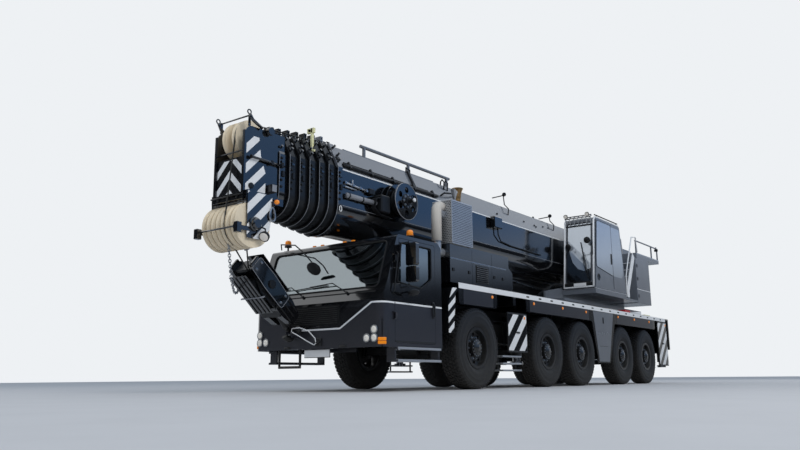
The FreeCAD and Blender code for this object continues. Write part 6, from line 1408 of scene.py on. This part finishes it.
# %% Boom head
HEAD_FRONT, HEAD_HALF = 9.885, 0.310
head = Workpiece("boom_head_trim")
CHEVRON_PITCH, CHEVRON_DUTY = 0.194, 0.42
for y_low, y_high, slant in ((-0.265, 0, 45), (0, 0.265, -45)):
    half_plate = [(y_low, 2.735), (y_high, 2.735), (y_high, 3.225), (y_low, 3.225)]
    striped(head, half_plate, (HEAD_FRONT, 0, 0), (0, 1, 0), (0, 0, 1), CHEVRON_PITCH, slant, duty=CHEVRON_DUTY,
            phase=0.80)
BAND_PITCH = 0.205
REAR_EDGE, FRONT_EDGE = 9.500, 9.872
CHEEK = [(FRONT_EDGE, 2.660), (FRONT_EDGE, 3.560), (9.64, 3.560), (9.60, 3.30), (REAR_EDGE, 3.05), (REAR_EDGE, 2.660)]
# the guard plate beside the lower sheaves, with bands of its own
FORK = [(FRONT_EDGE, 2.735), (9.43, 2.735), (9.41, 2.56), (9.46, 2.24), (9.60, 2.08), (FRONT_EDGE, 2.08)]
JIB_PIN = lathe([(0, 0.030), (0.036, 0.030), (0.042, 0.024), (0.042, 0.002), (0, 0.002)], 20)
AXLE_CAP = lathe([(0, 0.085), (0.060, 0.085), (0.078, 0.070), (0.085, 0.040), (0.100, 0.030), (0.100, 0.0), (0, 0.0)],
                 28)
HEAD_LAMP = lathe([(0, -0.075), (0.045, -0.070), (0.070, -0.030), (0.076, 0.012), (0.068, 0.018), (0, 0.018)], 24)
HEAD_LENS = lathe([(0, 0.024), (0.040, 0.023), (0.062, 0.018), (0.062, 0.012), (0, 0.012)], 24)
for sign in (1, -1):
    head.add(upright(rounded(FORK, 0.03), 0.3725, 0.3785, sign), black_enamel)
    for outline, y in ((CHEEK, HEAD_HALF + 0.0005), (FORK, 0.379)):
        striped_side(head, outline, y, BAND_PITCH, 45, sign, phase=0.36)
    head.box((9.868, 0.272, 2.62), (9.915, 0.318, 3.62), 0.006, black_enamel, sign=sign)
    # pin through the jib bore, the long pin rod and its clips
    head.add(JIB_PIN, cast_iron, side_place(9.775, 0.3125, 2.83, sign))
    head.bar([(9.80, 0.352 * sign, 3.240), (9.18, 0.352 * sign, 3.230)], 0.018, 12, black_enamel)
    head.add(lathe([(0, 0), (0.026, 0), (0.026, 0.02), (0, 0.02)], 14), cast_iron,
             axis_place((9.80, 0.352 * sign, 3.24), (1, 0, 0)))
    for x in (9.22, 9.42):
        head.box((x - 0.02, 0.308, 3.205), (x + 0.02, 0.372, 3.265), 0.005, cast_iron, sign=sign)
    # rope keepers over the upper sheaves and before the lower ones
    head.box((9.800, 0.291, 3.690), (9.842, 0.309, 3.865), 0.004, black_enamel, sign=sign)
    head.box((9.780, 0.371, 2.170), (10.105, 0.385, 2.235), 0.004, black_enamel, sign=sign)
    head.box((10.020, 0.380, 2.115), (10.110, 0.455, 2.260), 0.008, black_enamel, sign=sign)
    # end cap of the lower axle, with its work lamp
    head.add(AXLE_CAP, black_enamel, side_place(9.740, 0.3765, 2.280, sign))
    lamp_place = axis_place((9.640, 0.475 * sign, 2.110), (0.72, 0.30 * sign, -0.55))
    head.add(HEAD_LAMP, plastic, lamp_place, smooth=True)
    head.add(HEAD_LENS, clear_lens, lamp_place, smooth=True)
    head.bar([(9.66, 0.42 * sign, 2.25), (9.62, 0.47 * sign, 2.22), (9.62, 0.475 * sign, 2.15)], 0.012, 8, cast_iron,
             smooth=False)
head.bar([(9.821, -0.325, 3.850), (9.821, 0.325, 3.850)], 0.012, 10, black_enamel)
head.bar([(10.090, -0.42, 2.200), (10.090, 0.42, 2.200)], 0.013, 10, black_enamel)
head.bar([(9.93, -0.33, 2.690), (9.93, 0.33, 2.690)], 0.012, 8, cast_iron)
head.box((9.884, -0.29, 2.625), (9.905, 0.29, 2.700), 0.006, black_enamel)
for y in (-0.2, 0.0, 0.2):
    head.add(BIG_BOLT, cast_iron, axis_place((9.905, y, 2.660), (1, 0, 0)))

# blank switch box, lamp and pear link on the left cheek, and guide wheels, arms and eyes on the top
head.box((9.375, 0.309, 2.785), (9.470, 0.420, 2.905), 0.010, charcoal_enamel)
head.box((9.380, 0.419, 2.795), (9.465, 0.423, 2.895), 0.002, silver_enamel)
cheek_lamp = lathe([(0, 0.0), (0.036, 0.0), (0.036, 0.030), (0.028, 0.052), (0, 0.058)], 20)
head.add(cheek_lamp, amber_lens, axis_place((9.36, 0.395, 2.660), (0.3, 0.9, -0.2)), smooth=True)
head.bar([(9.36, 0.309, 2.70), (9.36, 0.395, 2.68)], 0.012, 8, cast_iron, smooth=False)
PEAR = [(9.43, 2.575), (9.405, 2.54), (9.385, 2.48), (9.375, 2.43), (9.39, 2.385), (9.43, 2.365), (9.47, 2.385),
        (9.485, 2.43), (9.475, 2.48), (9.455, 2.54)]
head.bar([(x, 0.40, z) for x, z in PEAR], 0.014, 10, steel_bright, closed=True)
head.bar([(9.43, 0.309, 2.66), (9.43, 0.40, 2.64), (9.43, 0.40, 2.575)], 0.014, 8, cast_iron, smooth=False)
GUIDE_WHEEL = lathe([(0, -0.03), (0.055, -0.03), (0.062, 0.0), (0.055, 0.03), (0, 0.03)], 20)
for sign in (1, -1):
    head.box((9.30, 0.200, 3.695), (9.44, 0.290, 3.775), 0.010, cast_iron, sign=sign)
    head.add(GUIDE_WHEEL, black_enamel, axis_place((9.47, 0.352 * sign, 3.690), (0, 1, 0)))
    arm = [(9.62, 0.345 * sign, 3.70), (9.80, 0.345 * sign, 3.78), (9.85, 0.335 * sign, 3.86)]
    head.bar(arm, 0.024, 10, black_enamel)
    head.bar(ellipse((9.858, 0.335 * sign, 3.885), 0.032, 0.032, 14), 0.010, 8, black_enamel, closed=True)
    head.bar([(9.20, 0.18 * sign, 3.735), (9.34, 0.26 * sign, 3.80), (9.47, 0.345 * sign, 3.745)], 0.014, 8,
             black_rubber)
head.done("boom_section_6")

# %% Hoist rope
UPPER_X, UPPER_Z, UPPER_TURN = 9.64, 3.56, 0.258
LOWER_X, LOWER_Z, LOWER_TURN = 9.74, 2.28, 0.290
over, under = [], []
for angle in (math.radians(a) for a in range(0, 91, 10)):
    over.append((UPPER_X + UPPER_TURN * math.sin(angle), ROPE_Y, UPPER_Z + UPPER_TURN * math.cos(angle)))
for angle in (math.radians(a) for a in range(0, -61, -10)):
    under.append((LOWER_X + LOWER_TURN * math.cos(angle), ROPE_Y, LOWER_Z + LOWER_TURN * math.sin(angle)))
ROPE_JOIN, BOOM_REAR = 8.05, -2.98
head_rope = Workpiece("hoist_rope_head")
head_rope.bar([(ROPE_JOIN, ROPE_Y, ROPE_TOP)] + over + under, ROPE, 8, wire_rope)
# dead end: wedge socket below the head
head_rope.bar([(9.55, -0.10, 2.66), (9.50, -0.10, 2.36), (9.45, -0.13, 2.17)], 0.011, 8, wire_rope)
socket = at(9.43, -0.145, 2.10) @ Matrix.Rotation(math.radians(26), 4, "Y")
head_rope.box((-0.038, -0.028, -0.085), (0.038, 0.028, 0.085), 0.010, silver_enamel, socket)
head_rope.done("boom_section_6")
boom_rope = Workpiece("hoist_rope_boom")
boom_rope.bar([(BOOM_REAR, ROPE_Y, ROPE_TOP), (ROPE_JOIN, ROPE_Y, ROPE_TOP)], ROPE, 8, wire_rope)
boom_rope.done("boom_base")
winch_run = Workpiece("hoist_rope_winch")
run_start, run_end = Vector((-4.10, ROPE_Y, 3.640)), Vector((BOOM_REAR, ROPE_Y, ROPE_TOP))
winch_run.bar([run_start.lerp(run_end, k / 24) for k in range(25)], ROPE, 8, wire_rope)
run = winch_run.done(None)
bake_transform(run)

# %% [markdown]
# ## Hook block
# The block leans on the rope and is lashed to the bumper. Cast cheek weights, a cover over its sheaves, bright edge
# lines that are painted highlights and a white sling belong to it. The chain's links follow a sagging path by a
# Geometry Nodes tree.

# %% Hook block
BLOCK_LEAN = at(8.930, -0.350, 1.570) @ Matrix.Rotation(math.radians(48), 4, "Y")
hook = Workpiece("hook_block_trim")
BLOCK_CAP = lathe([(0, 0.030), (0.055, 0.030), (0.065, 0.020), (0.065, 0.0), (0, 0.0)], 24)
WEIGHT = rounded([(-0.120, -0.380), (0.120, -0.380), (0.140, 0.040), (0.120, 0.430), (-0.120, 0.430), (-0.140, 0.040)],
                 0.04)
for sign in (1, -1):
    hook.add(upright(WEIGHT, 0.188, 0.246, sign), black_enamel, BLOCK_LEAN)
    # thin silver bar round each weight's outline: a painted highlight on its edge
    hook.bar([(x, 0.247 * sign, z) for x, z in WEIGHT], 0.0045, 6, silver_enamel, BLOCK_LEAN, closed=True, smooth=False)
    hook.box((-0.10, 0.185, 0.38), (0.10, 0.240, 0.475), 0.012, black_enamel, BLOCK_LEAN, sign=sign)
    for x, z in ((-0.07, -0.31), (0.07, -0.31), (-0.07, 0.36), (0.07, 0.36)):
        hook.add(BIG_BOLT, steel_bright, BLOCK_LEAN @ side_place(x, 0.246, z, sign))
    hook.add(BLOCK_CAP, cast_iron, BLOCK_LEAN @ side_place(0, 0.246, 0, sign))
for face_x in (0.236, -0.244):
    hook.box((face_x, -0.187, -0.345), (face_x + 0.010, 0.187, 0.395), 0.004, black_enamel, BLOCK_LEAN)
    for y in (-0.13, -0.045, 0.045, 0.13):
        rib_x = face_x + 0.008 if face_x > 0 else face_x - 0.012
        hook.box((rib_x, y - 0.008, -0.33), (rib_x + 0.014, y + 0.008, 0.38), 0.003, cast_iron, BLOCK_LEAN)
hook.box((0.232, -0.250, -0.030), (0.264, 0.250, -0.016), 0.003, silver_enamel, BLOCK_LEAN)
# cast housing of the crosshead, narrower towards the hook, and the forged hook's thick shank and back
HOUSING = rounded([(-0.165, -0.300), (0.165, -0.300), (0.170, -0.480), (0.105, -0.740), (-0.105, -0.740),
                   (-0.170, -0.480)], 0.05)
for sign in (1, -1):
    hook.add(upright(HOUSING, 0.090, 0.205, sign), black_enamel, BLOCK_LEAN)
    for x in (-0.10, 0.0, 0.10):
        hook.box((x - 0.010, 0.203, -0.66), (x + 0.010, 0.222, -0.34), 0.004, cast_iron, BLOCK_LEAN, sign=sign)
hook.box((-0.130, -0.120, -0.560), (0.130, 0.120, -0.420), 0.020, cast_iron, BLOCK_LEAN)
SHANK = lathe([(0, -0.80), (0.075, -0.80), (0.090, -0.77), (0.105, -0.62), (0.105, -0.50), (0, -0.50)], 28)
hook.add(SHANK, cast_iron, BLOCK_LEAN)
bow = []
for angle in (math.radians(a) for a in range(20, 261, 20)):
    bow.append(Vector((0.026 * math.cos(angle), -0.11 * math.sin(angle), 0.106 * math.cos(angle) - 0.90)))
hook.bar(bow, 0.050, 12, cast_iron, BLOCK_LEAN)
# the falls of rope between the head and the block
fall_end = BLOCK_LEAN @ Vector((0.10, 0.10, 0.36))
hook.bar([under[-1], fall_end], ROPE, 8, wire_rope)
hook.bar([(9.39, -0.155, 2.02), BLOCK_LEAN @ Vector((0.05, 0.06, 0.36))], ROPE, 8, wire_rope)
# white sling from the hook to the bumper's lashing eye
hook.box((8.133, 0.045, 0.680), (8.160, 0.165, 0.800), 0.006, plastic)
hook.bar([(8.158, 0.065, 0.735), (8.195, 0.070, 0.735), (8.195, 0.140, 0.735), (8.158, 0.145, 0.735)], 0.013, 8,
         cast_iron)
SLING = [(8.33, -0.28, 0.955), (8.29, -0.16, 0.965), (8.24, -0.02, 0.915), (8.205, 0.09, 0.800), (8.198, 0.105, 0.725),
         (8.19, 0.06, 0.700), (8.22, -0.06, 0.760), (8.28, -0.20, 0.850), (8.33, -0.29, 0.905)]
hook.bar(SLING, 0.008, 8, white_enamel, closed=True)
hook.done("carrier")

# %% Chain tree
def chain_tree():
    """Links along a run of edges: every other link is turned by a quarter."""
    sizes = [(label, "Float") for label in ("Pitch", "Link length", "Link width", "Bar radius")]
    tree = new_tree("Chain along a path", "Path", sizes)
    start = node(tree, "NodeGroupInput").outputs
    path = node(tree, "GeometryNodeMeshToCurve", links={"Mesh": start["Path"]})
    spots = node(tree, "GeometryNodeResampleCurve", {"mode": "LENGTH"}, links={"Curve": path, "Length": start["Pitch"]})
    ring = node(tree, "GeometryNodeCurvePrimitiveCircle", values={"Resolution": 14, "Radius": 0.5})
    size = node(tree, "ShaderNodeCombineXYZ", values={"Z": 1.0},
                links={"X": start["Link length"], "Y": start["Link width"]})
    stretched = node(tree, "GeometryNodeTransform", links={"Geometry": ring, "Scale": size})
    bar = node(tree, "GeometryNodeCurvePrimitiveCircle", values={"Resolution": 8},
               links={"Radius": start["Bar radius"]})
    link = node(tree, "GeometryNodeCurveToMesh", links={"Curve": stretched, "Profile Curve": bar})
    tangent = node(tree, "GeometryNodeInputTangent")
    facing = node(tree, "FunctionNodeAlignRotationToVector", {"axis": "X"}, links={"Vector": tangent})
    index = node(tree, "GeometryNodeInputIndex")
    odd = node(tree, "ShaderNodeMath", {"operation": "MODULO"}, {1: 2.0}, {0: index})
    quarter = node(tree, "ShaderNodeMath", {"operation": "MULTIPLY"}, {1: math.pi / 2}, {0: odd})
    roll_by = node(tree, "FunctionNodeAxisAngleToRotation", values={"Axis": (1, 0, 0)}, links={"Angle": quarter})
    turned = node(tree, "FunctionNodeRotateRotation", {"rotation_space": "LOCAL"},
                  links={"Rotation": facing, "Rotate By": roll_by})
    return close_tree(tree, start, link, spots, {"Rotation": turned})


CHAIN = chain_tree()
CHAIN_HIGH, CHAIN_LOW_END, CHAIN_SAG = Vector((9.90, 0.06, 1.975)), Vector((9.10, -0.60, 1.68)), 0.40
PATH_STEPS = 32
path_points = []
for k in range(PATH_STEPS + 1):
    share = k / PATH_STEPS
    spot = CHAIN_HIGH.lerp(CHAIN_LOW_END, share)
    path_points.append(spot - UP * CHAIN_SAG * 4 * share * (1 - share))
PATH_EDGES = [(k, k + 1) for k in range(PATH_STEPS)]
LINK_SIZES = {"Pitch": 0.040, "Link length": 0.060, "Link width": 0.038, "Bar radius": 0.0055}
chain = Workpiece("lashing_chain")
chain.copies((path_points, []), CHAIN, steel_bright, smooth=True, edges=PATH_EDGES, **LINK_SIZES)
chain.bar(ellipse((9.90, 0.06, 2.03), 0.020, 0.055, 14), 0.007, 8, steel_bright, closed=True)
chain.bar([(9.90, 0.06, 2.08), (9.895, 0.02, 2.115), (9.89, -0.08, 2.12)], 0.012, 8, cast_iron)
chain.done("boom_section_6")
